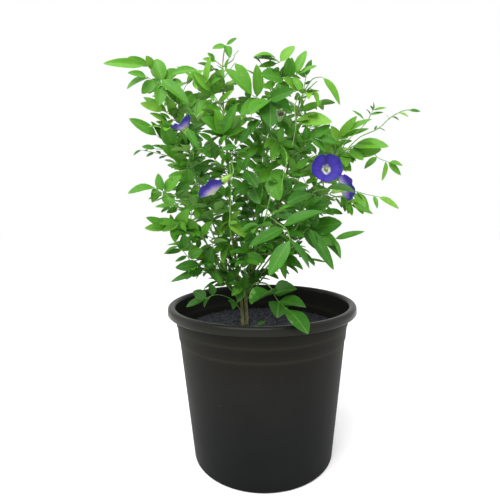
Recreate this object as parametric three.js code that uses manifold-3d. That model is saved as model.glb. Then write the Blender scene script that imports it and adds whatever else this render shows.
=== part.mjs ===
// A young butterfly pea bush in a black nursery pot, with pinnate leaves and four violet flowers.
// Millimetres, +Z up. The origin is the centre of the pot's flat base, and -Y is the front.
import * as THREE from "three";
import { mergeVertices } from "three/addons/utils/BufferGeometryUtils.js";
import Module from "manifold-3d";

const wasm = await Module();
wasm.setup();

// Gap left between pieces that touch, shortest edge kept, and the number of flat sides round the pot
const SEAT_GAP = 0.3;
const FINEST_EDGE = 0.05;
const POT_SIDES = 36;

// Pot: a thin moulded wall under a turned-over rim
const POT_HEIGHT = 216;
const RIM_RADIUS = 130;
const RIM_BAND = 10.5;
const RIM_THICKNESS = 2;
const RIM_TOP_ROUNDING = 4.5;
const RIM_CHAMFER = 0.5;
const GROOVE_DRAFT = 1.5;
const MOUTH_RADIUS = 119.3;
const SHOULDER_RADIUS = 121;
const BASE_RADIUS = 98.5;
const POT_WALL = 2;
const POT_FLOOR = 2.5;
const FOOT_ROUNDING = 3;
const STEP_HEIGHTS = [171, 189];
const STEP_DEPTH = 0.9;
const STEP_SLOPE = 1;
const DRAIN_HOLE_RADIUS = 4.5;
const DRAIN_RINGS = [
  { radius: 40, count: 4 },
  { radius: 76, count: 8 },
];

// Potting mix: its level, height of the mound round the stems, width of the sloping edge and its drop
const MIX_LEVEL = 177;
const MIX_MOUND = 5;
const MIX_EDGE = 8;
const MIX_EDGE_DROP = 1;
const MIX_RIPPLE = 1.2;
const RIPPLE_PITCH = 15;

// Stems and vines
const STEM_RADIUS = 2.2;
const VINE_RADIUS = 1.3;
const SHOOT_RADIUS = 0.8;
const STEM_SIDES = 5;

// Leaves: stalk, share of the stalk before the first leaflets, and leaflet proportions
const STALK_RADIUS = 0.8;
const STALK_END_RADIUS = 0.5;
const STALK_ARCH = 0.08;
const BARE_STALK = 0.45;
const LAST_PAIR = 0.92;
const LEAFLET_SLENDERNESS = 0.44;
const LEAFLET_THICKNESS = 0.8;
const LEAFLET_SPREAD = 62;
const LEAFLET_FOLD = 0.22;
const LEAFLET_DROOP = 0.16;
const PAIR_SIZE = 0.84;
const ROLLS = [0, 12, -12, 24, -24, 36, -36, 50, -50, 65, -65, 80, -80];
const SHIFTS = [0, -4, 4, -8, 8, -12, 12, -16, 16, -20, 20];

// Flowers: banner petal, the small keel in its throat, and the green calyx and its stalk behind it.
// A closed banner has its halves raised by FOLD_RISE of their width, and keeps FOLDED_WIDTH of its width.
// CALYX_OUTLINE gives the distance behind the mouth and the radius, as shares, up to the mouth.
const BANNER_LENGTH = 33;
const BANNER_WIDTH = 37;
const BANNER_THICKNESS = 0.9;
const BANNER_DISH = 6;
const FOLD_RISE = 1.2;
const FOLDED_WIDTH = 0.4;
const KEEL_LENGTH = 10;
const KEEL_WIDTH = 5;
const KEEL_THICKNESS = 3.4;
const CALYX_LENGTH = 13;
const CALYX_RADIUS = 3.2;
const CALYX_OUTLINE = [[0.75, 0.7], [0.3, 0.8], [0, 1]];
const PEDICEL_RADIUS = 0.9;
const PEDICEL_BEND = 1.6;

const material = (color, roughness) => new THREE.MeshStandardMaterial({ color, roughness, metalness: 0 });
const potPlastic = material(0x2c2d2c, 0.5);
const mixMatter = material(0x2a2622, 0.95);
const barkGreen = material(0x6b7a3f, 0.7);
const vineGreen = material(0x5b8f3a, 0.6);
const leafGreen = material(0x4d8a34, 0.55);
const petalViolet = material(0x4638b0, 0.6);
const keelPale = material(0xd9dcb4, 0.6);
const calyxGreen = material(0x7fae4c, 0.6);

const vector = ([x, y, z]) => new THREE.Vector3(x, y, z);
const degrees = (angle) => THREE.MathUtils.degToRad(angle);

// A solid from a closed three.js geometry
function solidOf(geometry) {
  const bare = geometry.index ? geometry.toNonIndexed() : geometry.clone();
  bare.deleteAttribute("normal");
  bare.deleteAttribute("uv");
  const merged = mergeVertices(bare, 1e-4);
  return new wasm.Manifold(
    new wasm.Mesh({
      numProp: 3,
      vertProperties: merged.attributes.position.array,
      triVerts: new Uint32Array(merged.index.array),
    }),
  );
}

// A named mesh from a solid
function meshOf(name, solid, finish) {
  const made = solid.getMesh();
  const geometry = new THREE.BufferGeometry();
  geometry.setAttribute("position", new THREE.BufferAttribute(made.vertProperties, 3));
  geometry.setIndex(new THREE.BufferAttribute(made.triVerts, 1));
  geometry.computeVertexNormals();
  const mesh = new THREE.Mesh(geometry, finish);
  mesh.name = name;
  return mesh;
}

// A profile of [radius, height] points turned about the Z axis
function turned(profile, sides) {
  const points = profile.map(([radius, height]) => new THREE.Vector2(radius, height));
  return new THREE.LatheGeometry(points, sides).rotateX(degrees(90));
}

// A round stalk along a curve that tapers from one radius to another
function taperedTube(curve, startRadius, endRadius, sides, steps) {
  const section = new THREE.Shape();
  for (let side = 0; side < sides; side++) {
    const angle = (2 * Math.PI * side) / sides;
    const corner = [startRadius * Math.cos(angle), startRadius * Math.sin(angle)];
    if (side === 0) section.moveTo(...corner);
    else section.lineTo(...corner);
  }
  const tube = new THREE.ExtrudeGeometry(section, { steps, extrudePath: curve });
  const centres = curve.getSpacedPoints(steps);
  const place = tube.attributes.position;
  const corner = new THREE.Vector3();
  for (let index = 0; index < place.count; index++) {
    corner.fromBufferAttribute(place, index);
    const distances = centres.map((centre) => centre.distanceTo(corner));
    const nearest = distances.indexOf(Math.min(...distances));
    const scale = THREE.MathUtils.lerp(1, endRadius / startRadius, nearest / steps);
    corner.sub(centres[nearest]).multiplyScalar(scale).add(centres[nearest]);
    place.setXYZ(index, corner.x, corner.y, corner.z);
  }
  return tube;
}

// Pot

// Outer radius of the tapered wall at a height, with its two moulded steps
function wallRadius(height) {
  const stepsBelow = STEP_HEIGHTS.filter((step) => height > step).length;
  const plainTop = SHOULDER_RADIUS - STEP_HEIGHTS.length * STEP_DEPTH;
  return THREE.MathUtils.lerp(BASE_RADIUS, plainTop, height / POT_HEIGHT) + STEP_DEPTH * stepsBelow;
}

// Inner radius of the wall at a height: the steps show on the inside too
function innerRadius(height) {
  return wallRadius(height) - POT_WALL;
}

function makePot() {
  const rimFoot = POT_HEIGHT - RIM_BAND;
  const grooveTop = POT_HEIGHT - RIM_TOP_ROUNDING;
  const skirtRadius = RIM_RADIUS - RIM_THICKNESS;
  const corner = RIM_TOP_ROUNDING * (1 - Math.cos(degrees(45)));
  const stepPoints = STEP_HEIGHTS.flatMap((step) => [
    [wallRadius(step - STEP_SLOPE), step - STEP_SLOPE],
    [wallRadius(step + STEP_SLOPE), step + STEP_SLOPE],
  ]);
  const profile = [
    [0, 0],
    [BASE_RADIUS - FOOT_ROUNDING, 0],
    [wallRadius(FOOT_ROUNDING), FOOT_ROUNDING],
    ...stepPoints,
    [SHOULDER_RADIUS, rimFoot],
    [SHOULDER_RADIUS + GROOVE_DRAFT, grooveTop],
    [skirtRadius - GROOVE_DRAFT, grooveTop],
    [skirtRadius, rimFoot],
    [RIM_RADIUS - RIM_CHAMFER, rimFoot],
    [RIM_RADIUS, rimFoot + 3 * RIM_CHAMFER],
    [RIM_RADIUS, grooveTop],
    [RIM_RADIUS - corner, POT_HEIGHT - corner],
    [RIM_RADIUS - RIM_TOP_ROUNDING, POT_HEIGHT],
    [RIM_RADIUS - 2 * RIM_TOP_ROUNDING, POT_HEIGHT],
    [MOUTH_RADIUS, POT_HEIGHT - corner],
    [innerRadius(rimFoot), rimFoot],
    ...stepPoints.map(([radius, height]) => [radius - POT_WALL, height]).reverse(),
    [innerRadius(POT_FLOOR + FOOT_ROUNDING), POT_FLOOR + FOOT_ROUNDING],
    [BASE_RADIUS - POT_WALL - FOOT_ROUNDING, POT_FLOOR],
    [0, POT_FLOOR],
  ];
  let pot = solidOf(turned(profile, POT_SIDES));
  for (const ring of DRAIN_RINGS) {
    for (let hole = 0; hole < ring.count; hole++) {
      const angle = (2 * Math.PI * (hole + 0.5)) / ring.count;
      const drill = new THREE.CylinderGeometry(DRAIN_HOLE_RADIUS, DRAIN_HOLE_RADIUS, 4 * POT_FLOOR, 8);
      drill.rotateX(degrees(90));
      drill.translate(ring.radius * Math.cos(angle), ring.radius * Math.sin(angle), POT_FLOOR / 2);
      pot = pot.subtract(solidOf(drill));
    }
  }
  return pot;
}

// Potting mix: it fills the pot to a low mound, and each stem stands in a hole of its own
function makeMix(stemSolids) {
  const foot = POT_FLOOR + SEAT_GAP;
  const cornerTop = foot + FOOT_ROUNDING;
  const edgeHeight = MIX_LEVEL - MIX_EDGE_DROP;
  const edgeRadius = innerRadius(edgeHeight) - STEP_DEPTH - 1.5 * SEAT_GAP;
  const mound = [1, 0.68, 0.4, 0].map((share) => [
    share * (edgeRadius - MIX_EDGE),
    MIX_LEVEL + MIX_MOUND * (1 - share),
  ]);
  const profile = [
    [0, foot],
    [BASE_RADIUS - POT_WALL - FOOT_ROUNDING - SEAT_GAP, foot],
    [innerRadius(cornerTop) - 1.5 * SEAT_GAP, cornerTop],
    [edgeRadius, edgeHeight],
    ...mound,
  ];
  const body = turned(profile, POT_SIDES);
  const place = body.attributes.position;
  for (let index = 0; index < place.count; index++) {
    const radius = Math.hypot(place.getX(index), place.getY(index));
    if (place.getZ(index) < MIX_LEVEL || radius < 1) continue;
    const ripple = Math.sin(place.getX(index) / RIPPLE_PITCH) + Math.cos(place.getY(index) / RIPPLE_PITCH);
    place.setZ(index, place.getZ(index) + MIX_RIPPLE * ripple);
  }
  return stemSolids.reduce((mix, stem) => mix.subtract(stem), solidOf(body));
}

// Stems and vines: each is a curve through points chosen along its course

const STEMS = [
  {
    name: "stem_left",
    points: [
      [-26, 0, 140], [-27, 0, 184], [-29, 0, 223], [-31, -2, 240], [-35, -8, 273], [-39, -22, 317],
      [-40, -38, 363], [-41, -41, 400], [-46, -34, 457], [-47, -20, 504], [-47, -14, 535], [-44, -14, 554],
    ],
  },
  {
    name: "stem_right",
    points: [
      [-21, 1, 140], [-21, 2, 184], [-22, 2, 223], [-19, 1, 241], [-5, -10, 273], [14, -30, 314],
      [26, -44, 362], [37, -52, 416], [42, -54, 451], [50, -52, 479], [60, -50, 497],
    ],
  },
];

// A vine starts on its parent at the height given, and runs through its points
const VINES = [
  {
    name: "vine_low_left", parent: "stem_left", height: 214,
    points: [[-50, -10, 243], [-67, -22, 257], [-84, -34, 271], [-95, -42, 280]],
  },
  {
    name: "vine_lower_left", parent: "stem_left", height: 221,
    points: [[-54, -12, 254], [-77, -24, 279], [-93, -38, 303], [-108, -50, 322]],
  },
  {
    name: "vine_left", parent: "stem_left", height: 228,
    points: [[-48, -18, 265], [-70, -36, 299], [-89, -54, 329], [-105, -64, 353], [-119, -68, 366]],
  },
  {
    name: "vine_back_left", parent: "stem_left", height: 235,
    points: [
      [-53, 24, 275], [-78, 46, 327], [-96, 62, 391], [-108, 72, 445], [-115, 76, 499], [-116, 72, 525],
    ],
  },
  {
    name: "vine_upper_left", parent: "stem_left", height: 242,
    points: [
      [-46, -16, 284], [-62, -32, 324], [-76, -46, 369], [-87, -60, 416], [-98, -68, 457],
      [-110, -72, 483], [-121, -74, 496],
    ],
  },
  {
    name: "vine_top_middle", parent: "stem_left", height: 262,
    points: [
      [-22, 4, 295], [-8, -4, 336], [2, -18, 380], [10, -32, 431], [15, -40, 473], [15, -44, 504],
      [12, -44, 518],
    ],
  },
  {
    name: "vine_lower_right", parent: "stem_right", height: 216,
    points: [[8, 2, 255], [36, -12, 288], [60, -26, 309], [81, -38, 314]],
  },
  {
    name: "vine_front", parent: "stem_right", height: 222,
    points: [[-10, -24, 244], [4, -48, 250], [13, -70, 244]],
  },
  {
    name: "vine_right_low", parent: "stem_right", height: 229,
    points: [[4, -16, 262], [27, -30, 291], [49, -42, 327], [68, -50, 350], [91, -50, 358], [114, -46, 360]],
  },
  {
    name: "vine_right", parent: "stem_right", height: 235,
    points: [[12, 16, 273], [46, 22, 322], [79, 22, 371], [106, 14, 409], [124, 6, 427], [142, 0, 432]],
  },
  {
    name: "vine_back_right", parent: "stem_right", height: 241,
    points: [[16, 42, 282], [63, 66, 335], [93, 80, 393], [107, 84, 452], [112, 82, 482]],
  },
  {
    name: "vine_back", parent: "stem_right", height: 247,
    points: [[-14, 40, 285], [4, 72, 336], [19, 92, 408], [29, 100, 472], [36, 98, 521]],
  },
  {
    name: "vine_front_middle", parent: "stem_right", height: 256,
    points: [[-12, -34, 282], [-4, -62, 309], [4, -84, 337], [10, -98, 365]],
  },
  {
    name: "twig_right", parent: "vine_right", height: 422,
    points: [[136, 2, 440], [156, -14, 448], [172, -16, 462], [191, -14, 471], [206, -14, 471]],
  },
];

// Leaves, by the stalk that they grow on: at is the share of its length, and looks is the way that the
// leaf's upper side faces. The stalk runs on through its points, and each leaflet is a row of the share of
// the stalk at which it starts, the point that it reaches to, and its width as a share of its length.
const LEAVES = {
  vine_upper_left: [
    {
      name: "leaf_far_left", at: 0.97, looks: [0, -1, 0.6],
      stalk: [[-119, -78, 497], [-125, -84, 505], [-144, -92, 507]],
      leaflets: [
        [1, [-171, -98, 500], 0.34], [0.5, [-151, -80, 515], 0.32], [0.42, [-126, -96, 511], 0.5],
      ],
    },
    {
      name: "leaf_left_upright", at: 0.9, looks: [0, -1, 0.3],
      stalk: [[-110, -66, 485], [-113, -70, 493]],
      leaflets: [
        [1, [-123, -64, 520], 0.5], [0.85, [-93, -72, 505], 0.6],
      ],
    },
    {
      name: "leaf_left_drooping", at: 0.93, looks: [0, -2, 1],
      stalk: [[-114, -84, 485], [-126, -96, 490]],
      leaflets: [
        [1, [-144, -104, 491], 0.32], [0.92, [-147, -100, 477], 0.34], [0.7, [-131, -94, 472], 0.5],
        [0.45, [-112, -92, 460], 0.42],
      ],
    },
    {
      name: "leaf_left_high", at: 0.78, looks: [0, -2, 1],
      stalk: [[-103, -72, 453], [-112, -78, 458]],
      leaflets: [
        [1, [-137, -84, 464], 0.32], [0.85, [-135, -74, 475], 0.28], [0.5, [-106, -80, 472], 0.4],
      ],
    },
    {
      name: "leaf_left_lance", at: 0.68, looks: [0, -2, 1],
      stalk: [[-102, -62, 418], [-115, -70, 426], [-122, -74, 431]],
      leaflets: [
        [1, [-152, -80, 448], 0.28], [0.8, [-126, -78, 447], 0.35], [0.45, [-114, -86, 444], 0.4],
        [0.2, [-86, -82, 436], 0.36],
      ],
    },
  ],
  vine_back_left: [
    {
      name: "leaf_back_left_top", at: 0.98, looks: [0, -1, 0.6],
      stalk: [[-107, 58, 529], [-95, 46, 533]],
      leaflets: [
        [1, [-115, 40, 551], 0.4], [0.75, [-111, 28, 518], 0.65], [1, [-73, 30, 510], 0.34],
        [0.6, [-79, 50, 547], 0.4],
      ],
    },
  ],
  vine_left: [
    {
      name: "leaf_left_tip", at: 0.96, looks: [0, -2, 1],
      stalk: [[-117, -76, 367], [-123, -84, 370]],
      leaflets: [
        [1, [-152, -96, 363], 0.34], [0.9, [-123, -92, 351], 0.5], [0.5, [-124, -72, 387], 0.45],
        [0.4, [-95, -76, 384], 0.5], [0.3, [-104, -84, 348], 0.5],
      ],
    },
  ],
  vine_lower_left: [
    {
      name: "leaf_lower_left", at: 0.95, looks: [0, -2, 1.5],
      stalk: [[-108, -58, 322], [-115, -68, 325]],
      leaflets: [
        [1, [-136, -84, 334], 0.3], [0.9, [-140, -74, 321], 0.3], [0.6, [-104, -72, 306], 0.45],
        [0.5, [-113, -58, 339], 0.3], [0.3, [-87, -66, 343], 0.42],
      ],
    },
  ],
  vine_low_left: [
    {
      name: "leaf_low_left", at: 0.96, looks: [0, -2, 1],
      stalk: [[-95, -48, 286], [-100, -56, 295]],
      leaflets: [
        [1, [-120, -66, 291], 0.24], [0.9, [-95, -60, 316], 0.42], [0.5, [-108, -58, 280], 0.25],
        [0.4, [-74, -56, 294], 0.42],
      ],
    },
    {
      name: "leaf_low_left_under", at: 0.6, looks: [0, -2, 1],
      stalk: [[-73, -34, 269], [-80, -44, 275]],
      leaflets: [
        [1, [-107, -62, 272], 0.34], [0.6, [-112, -64, 255], 0.15], [0.4, [-52, -44, 248], 0.3],
        [0.5, [-62, -46, 296], 0.42],
      ],
    },
  ],
  stem_left: [
    {
      name: "leaf_over_soil", at: 0.14, looks: [0, -1, 2],
      stalk: [[-38, -8, 217], [-51, -20, 228], [-64, -32, 232], [-75, -38, 228]],
      leaflets: [
        [1, [-98, -46, 220], 0.38], [0.97, [-91, -36, 237], 0.62], [0.85, [-68, -30, 247], 0.6],
        [0.9, [-76, -44, 219], 0.5], [0.3, [-39, -26, 211], 0.45],
      ],
    },
    {
      name: "leaf_top_upright", at: 0.78, looks: [0, -1, 0.2],
      stalk: [[-52, -30, 477], [-61, -30, 488]],
      leaflets: [
        [1, [-46, -34, 518], 0.48], [0.95, [-86, -40, 513], 0.27], [0.6, [-33, -42, 491], 0.22],
        [0.4, [-71, -46, 456], 0.42],
      ],
    },
  ],
  vine_top_middle: [
    {
      name: "leaf_top_arch", at: 0.82, looks: [0, -1, 0.6],
      stalk: [[2, -56, 474], [-10, -68, 477]],
      leaflets: [
        [1, [-41, -70, 506], 0.34], [0.8, [-2, -76, 508], 0.3], [0.6, [-21, -76, 452], 0.4],
      ],
    },
    {
      name: "leaf_top_middle_left", at: 1, looks: [0, -1, 0.6],
      stalk: [[18, -48, 519], [24, -52, 520]],
      leaflets: [
        [1, [-7, -60, 522], 0.27], [0.7, [-1, -56, 512], 0.27], [1, [41, -54, 537], 0.45],
      ],
    },
    {
      name: "leaf_top_middle", at: 0.92, looks: [0, -1, 0.4],
      stalk: [[28, -56, 499], [44, -62, 502]],
      leaflets: [
        [1, [65, -66, 511], 0.25], [0.95, [53, -58, 530], 0.32], [0.85, [49, -66, 477], 0.26],
        [0.5, [0, -80, 495], 0.42], [0.7, [36, -72, 517], 0.5],
      ],
    },
    {
      name: "leaf_top_middle_front", at: 0.88, looks: [0, -1, 0.6],
      stalk: [[12, -60, 477], [10, -76, 469]],
      leaflets: [
        [1, [-14, -96, 449], 0.5], [1, [36, -94, 472], 0.42], [0.9, [10, -98, 434], 0.5],
        [0.8, [33, -80, 451], 0.42],
      ],
    },
  ],
  stem_right: [
    {
      name: "leaf_lone_hanging", at: 0.98, looks: [1, -1, 1],
      stalk: [[63, -54, 499], [69, -57, 500], [74, -60, 499]],
      leaflets: [
        [1, [91, -62, 466], 0.28],
      ],
    },
    {
      name: "leaf_upper_right", at: 0.86, looks: [0, -1, 0.5],
      stalk: [[50, -64, 467], [57, -70, 484]],
      leaflets: [
        [1, [67, -76, 462], 0.34], [0.95, [53, -84, 467], 0.3], [0.4, [44, -78, 470], 0.3],
        [0.35, [73, -60, 468], 0.26], [0.1, [81, -76, 443], 0.34],
      ],
    },
  ],
  vine_right: [
    {
      name: "leaf_right_reach", at: 0.82, looks: [0, -1, 0.5],
      stalk: [[99, -10, 423], [98, -30, 436]],
      leaflets: [
        [1, [135, -52, 451], 0.2], [0.97, [135, -42, 439], 0.15], [0.8, [72, -40, 443], 0.42],
        [0.6, [75, -24, 424], 0.4], [0.7, [116, -34, 428], 0.3],
      ],
    },
    {
      name: "leaf_right_big", at: 0.86, looks: [0, -1, 0.6],
      stalk: [[113, -12, 417], [119, -26, 423]],
      leaflets: [
        [1, [157, -50, 419], 0.33], [0.7, [108, -32, 397], 0.42], [0.9, [127, -40, 403], 0.4],
      ],
    },
    {
      name: "leaf_right_star", at: 1, looks: [0, -1, 0.5],
      stalk: [[150, -8, 421], [156, -16, 410], [168, -24, 403]],
      leaflets: [
        [1, [182, -32, 397], 0.42], [0.97, [180, -28, 385], 0.3], [0.9, [160, -26, 379], 0.3],
        [0.6, [136, -22, 396], 0.36],
      ],
    },
  ],
  vine_right_low: [
    {
      name: "leaf_right_low", at: 0.98, looks: [0, -1, 0.8],
      stalk: [[116, -54, 364], [129, -60, 360], [141, -66, 357]],
      leaflets: [
        [1, [161, -76, 342], 0.26], [0.85, [138, -70, 343], 0.28], [0.15, [125, -68, 346], 0.3],
        [0.05, [97, -62, 348], 0.42], [0.3, [133, -58, 338], 0.3],
      ],
    },
    {
      name: "leaf_right_front", at: 0.6, looks: [0, -1, 0.8],
      stalk: [[51, -62, 347], [60, -84, 363], [70, -100, 365]],
      leaflets: [
        [1, [99, -116, 362], 0.36], [0.7, [26, -100, 352], 0.34], [0.4, [77, -84, 346], 0.4],
        [0.2, [34, -66, 333], 0.4],
      ],
    },
  ],
  vine_lower_right: [
    {
      name: "leaf_lower_right", at: 0.85, looks: [0, -1, 0.8],
      stalk: [[65, -40, 318], [80, -52, 312], [90, -58, 306]],
      leaflets: [
        [1, [123, -70, 314], 0.2], [0.9, [97, -68, 283], 0.32], [0.3, [96, -66, 324], 0.44],
      ],
    },
    {
      name: "leaf_hanging", at: 0.8, looks: [0, -1, 0.6],
      stalk: [[54, -46, 316], [58, -58, 320]],
      leaflets: [
        [1, [82, -80, 271], 0.2], [0.8, [65, -70, 294], 0.34], [0.5, [70, -66, 337], 0.42],
      ],
    },
  ],
  vine_front: [
    {
      name: "leaf_over_rim", at: 0.97, looks: [0, -1, 2],
      stalk: [[13, -78, 242], [17, -94, 237], [25, -112, 232]],
      leaflets: [
        [1, [44, -150, 216], 0.42], [0.2, [-15, -96, 235], 0.6], [0.2, [40, -80, 247], 0.55],
        [0.6, [47, -104, 232], 0.5], [0.6, [14, -118, 224], 0.55],
      ],
    },
  ],
  vine_front_middle: [
    {
      name: "leaf_front", at: 0.8, looks: [0, -1, 0.8],
      stalk: [[15, -106, 329], [25, -118, 321], [28, -124, 310]],
      leaflets: [
        [0.7, [-16, -134, 305], 0.34], [1, [48, -134, 282], 0.32], [1, [4, -134, 275], 0.4],
        [0.65, [61, -128, 340], 0.38], [0.2, [39, -112, 330], 0.4],
      ],
    },
  ],
};

// Leaves behind the plant follow one rule: pairs of equal leaflets and one at the end. tip is the point that
// the leaf reaches to, and size is the length of its last leaflet.
const BACK_LEAVES = {
  vine_back_left: [
    { name: "leaf_back_left", at: 0.66, tip: [-144, 112, 464], size: 34, looks: [0, 1, 2], pairs: 3 },
  ],
  vine_back: [
    { name: "leaf_back_top", at: 0.8, tip: [56, 150, 520], size: 34, looks: [0, 1, 2], pairs: 3 },
  ],
  vine_back_right: [
    { name: "leaf_back_right", at: 0.7, tip: [150, 124, 440], size: 34, looks: [0, 1, 2], pairs: 3 },
  ],
};

// Flowers: each is on a vine at a share of its length. centre is the middle of the banner petal, looks is
// the way its inner side faces, and open is 1 for a flower spread flat and less for one still folded. A
// flower hangs from the middle of its banner, or where hooded is set from the upper end of the fold.
const FLOWERS = [
  {
    name: "flower_left", on: "vine_upper_left", at: 0.62,
    centre: [-85, -89, 434], looks: [-5, -1, 8.5], open: 0.75,
  },
  {
    name: "flower_lower_left", on: "stem_left", at: 0.66,
    centre: [-57, -82, 362], looks: [-5, -1.5, 8], open: 0.5, hooded: true,
  },
  {
    name: "flower_front", on: "vine_right_low", at: 0.82,
    centre: [73, -96, 389], looks: [0, -1, 0.1], open: 1,
  },
  {
    name: "flower_right", on: "vine_right_low", at: 0.9,
    centre: [92, -72, 370], looks: [7, 1.5, 2.5], open: 0.9,
  },
];

// The point of a rising curve at a height
function pointAtHeight(curve, height) {
  const samples = curve.getSpacedPoints(200);
  return samples.find((point) => point.z >= height) ?? samples[samples.length - 1];
}

// The largest body of a solid, once a seat has been cut out of it
function mainBody(solid) {
  const bodies = solid.simplify(FINEST_EDGE).decompose();
  return bodies.reduce((largest, body) => (body.volume() > largest.volume() ? body : largest));
}

const stalks = {};

// The room that a stalk takes up with a gap all round, which is cut out of whatever grows from it
function seatOf(curve, startRadius, steps) {
  const tube = taperedTube(curve, startRadius + SEAT_GAP, SHOOT_RADIUS + SEAT_GAP, STEM_SIDES, steps);
  const end = new THREE.SphereGeometry(SHOOT_RADIUS + 2 * SEAT_GAP, STEM_SIDES, 4);
  return solidOf(tube).add(solidOf(end.translate(...curve.getPoint(1))));
}

function makeStem({ name, points }) {
  const curve = new THREE.CatmullRomCurve3(points.map(vector));
  const steps = 2 * points.length;
  const tube = taperedTube(curve, STEM_RADIUS, SHOOT_RADIUS, STEM_SIDES, steps);
  stalks[name] = { curve, solid: solidOf(tube), seat: seatOf(curve, STEM_RADIUS, steps) };
}

function makeVine({ name, parent, height, points }) {
  const start = pointAtHeight(stalks[parent].curve, height);
  const curve = new THREE.CatmullRomCurve3([start, ...points.map(vector)]);
  const steps = 2 * points.length + 2;
  const tube = taperedTube(curve, VINE_RADIUS, SHOOT_RADIUS, STEM_SIDES, steps);
  const solid = mainBody(solidOf(tube).subtract(stalks[parent].seat));
  stalks[name] = { curve, solid, seat: seatOf(curve, VINE_RADIUS, steps) };
}

// A leaflet lies along +X from its base at the origin, with its upper side along +Z
function leafletGeometry(length, slenderness) {
  const blade = new THREE.SphereGeometry(1, 4, 4);
  blade.rotateZ(degrees(-90));
  blade.scale(length / 2, (length * slenderness) / 2, LEAFLET_THICKNESS / 2);
  blade.translate(length / 2, 0, 0);
  const place = blade.attributes.position;
  for (let index = 0; index < place.count; index++) {
    const along = place.getX(index) / length;
    const fold = LEAFLET_FOLD * Math.abs(place.getY(index));
    place.setZ(index, place.getZ(index) + fold - LEAFLET_DROOP * length * along * along);
  }
  return blade;
}

// A frame with its X axis along one direction and its Z axis as near as can be to another
function frameAt(origin, along, up) {
  const x = along.clone().normalize();
  const y = up.clone().cross(x).normalize();
  const z = x.clone().cross(y);
  return new THREE.Matrix4().makeBasis(x, y, z).setPosition(origin);
}

// One leaflet from its base in a direction, as a solid
function leafletSolid(origin, direction, upper, length, slenderness) {
  return solidOf(leafletGeometry(length, slenderness).applyMatrix4(frameAt(origin, direction, upper)));
}

// A leaf with leaflets that each have their own place. shift moves all of it but its base back or forth.
function leafSolid(leaf, base, shift) {
  const shifted = (point) => vector(point).add(new THREE.Vector3(0, shift, 0));
  const stalk = new THREE.CatmullRomCurve3([base, ...leaf.stalk.map(shifted)]);
  let solid = solidOf(taperedTube(stalk, STALK_RADIUS, STALK_END_RADIUS, 3, 2 * leaf.stalk.length));
  for (const [share, tip, width] of leaf.leaflets) {
    const origin = stalk.getPointAt(share);
    const straight = shifted(tip).sub(origin);
    const upper = vector(leaf.looks).projectOnPlane(straight.clone().normalize()).normalize();
    const direction = straight.clone().addScaledVector(upper, LEAFLET_DROOP * straight.length());
    origin.addScaledVector(direction.clone().normalize(), -STALK_RADIUS);
    const length = direction.length() + STALK_RADIUS;
    solid = solid.add(leafletSolid(origin, direction, upper, length, width));
  }
  return solid;
}

// A leaf that follows the rule of the back leaves, rolled about its own stalk
function backLeafSolid(leaf, base, roll) {
  const tip = vector(leaf.tip);
  const along = tip.clone().sub(base).normalize();
  const upper = vector(leaf.looks).projectOnPlane(along).normalize().applyAxisAngle(along, degrees(roll));
  const across = upper.clone().cross(along);
  const end = tip.clone().addScaledVector(along, -leaf.size);
  end.addScaledVector(upper, LEAFLET_DROOP * leaf.size);
  const middle = base.clone().lerp(end, 0.5).addScaledVector(upper, STALK_ARCH * tip.distanceTo(base));
  const stalk = new THREE.QuadraticBezierCurve3(base, middle, end);
  let solid = solidOf(taperedTube(stalk, STALK_RADIUS, STALK_END_RADIUS, 3, 3));
  const grow = (origin, direction, length) => {
    solid = solid.add(leafletSolid(origin, direction, upper, length, LEAFLET_SLENDERNESS));
  };
  grow(end.clone().addScaledVector(along, -2 * STALK_RADIUS), along, leaf.size + 2 * STALK_RADIUS);
  for (let pair = 0; pair < leaf.pairs; pair++) {
    const share = pair / Math.max(1, leaf.pairs - 1);
    const origin = stalk.getPoint(THREE.MathUtils.lerp(BARE_STALK, LAST_PAIR, share));
    for (const side of [-1, 1]) {
      const direction = along.clone().multiplyScalar(Math.cos(degrees(LEAFLET_SPREAD)));
      direction.addScaledVector(across, side * Math.sin(degrees(LEAFLET_SPREAD)));
      grow(origin, direction, PAIR_SIZE * leaf.size);
    }
  }
  return solid;
}

const placed = [];

// A leaf is shifted, or a back leaf rolled, until it is clear of everything that is already in place
function makeLeaf(stalkName, leaf, solidFor, moves) {
  const { curve, seat } = stalks[stalkName];
  const base = curve.getPointAt(leaf.at);
  for (const move of moves) {
    const solid = mainBody(solidFor(leaf, base, move).subtract(seat));
    if (placed.every((other) => solid.minGap(other, 2 * SEAT_GAP) > 0.5 * SEAT_GAP)) {
      if (move !== 0) console.log(leaf.name, "moved by", move);
      return solid;
    }
  }
  throw new Error(leaf.name + " finds no free place");
}

// Flower parts, made round the origin with the inner side of the banner looking along +Z

function bannerSolid(frame, open) {
  const petal = new THREE.SphereGeometry(1, 12, 6);
  petal.rotateX(degrees(90));
  petal.scale(BANNER_WIDTH / 2, BANNER_LENGTH / 2, BANNER_THICKNESS / 2);
  const place = petal.attributes.position;
  for (let index = 0; index < place.count; index++) {
    const x = place.getX(index);
    const reach = Math.hypot(2 * x / BANNER_WIDTH, 2 * place.getY(index) / BANNER_LENGTH);
    const folded = (1 - open) * Math.abs(x) * FOLD_RISE;
    place.setX(index, x * THREE.MathUtils.lerp(FOLDED_WIDTH, 1, open));
    place.setZ(index, place.getZ(index) + BANNER_DISH * reach * reach + folded);
  }
  return solidOf(petal.applyMatrix4(frame));
}

function keelSolid(frame, open) {
  const keel = new THREE.SphereGeometry(1, 6, 6);
  keel.rotateX(degrees(90));
  keel.scale(KEEL_THICKNESS / 2, KEEL_WIDTH / 2, KEEL_LENGTH / 2);
  const lift = SEAT_GAP * (1 + 2 * (1 - open));
  keel.translate(0, 0, BANNER_THICKNESS / 2 + lift + KEEL_LENGTH / 2);
  return solidOf(keel.applyMatrix4(frame));
}

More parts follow.
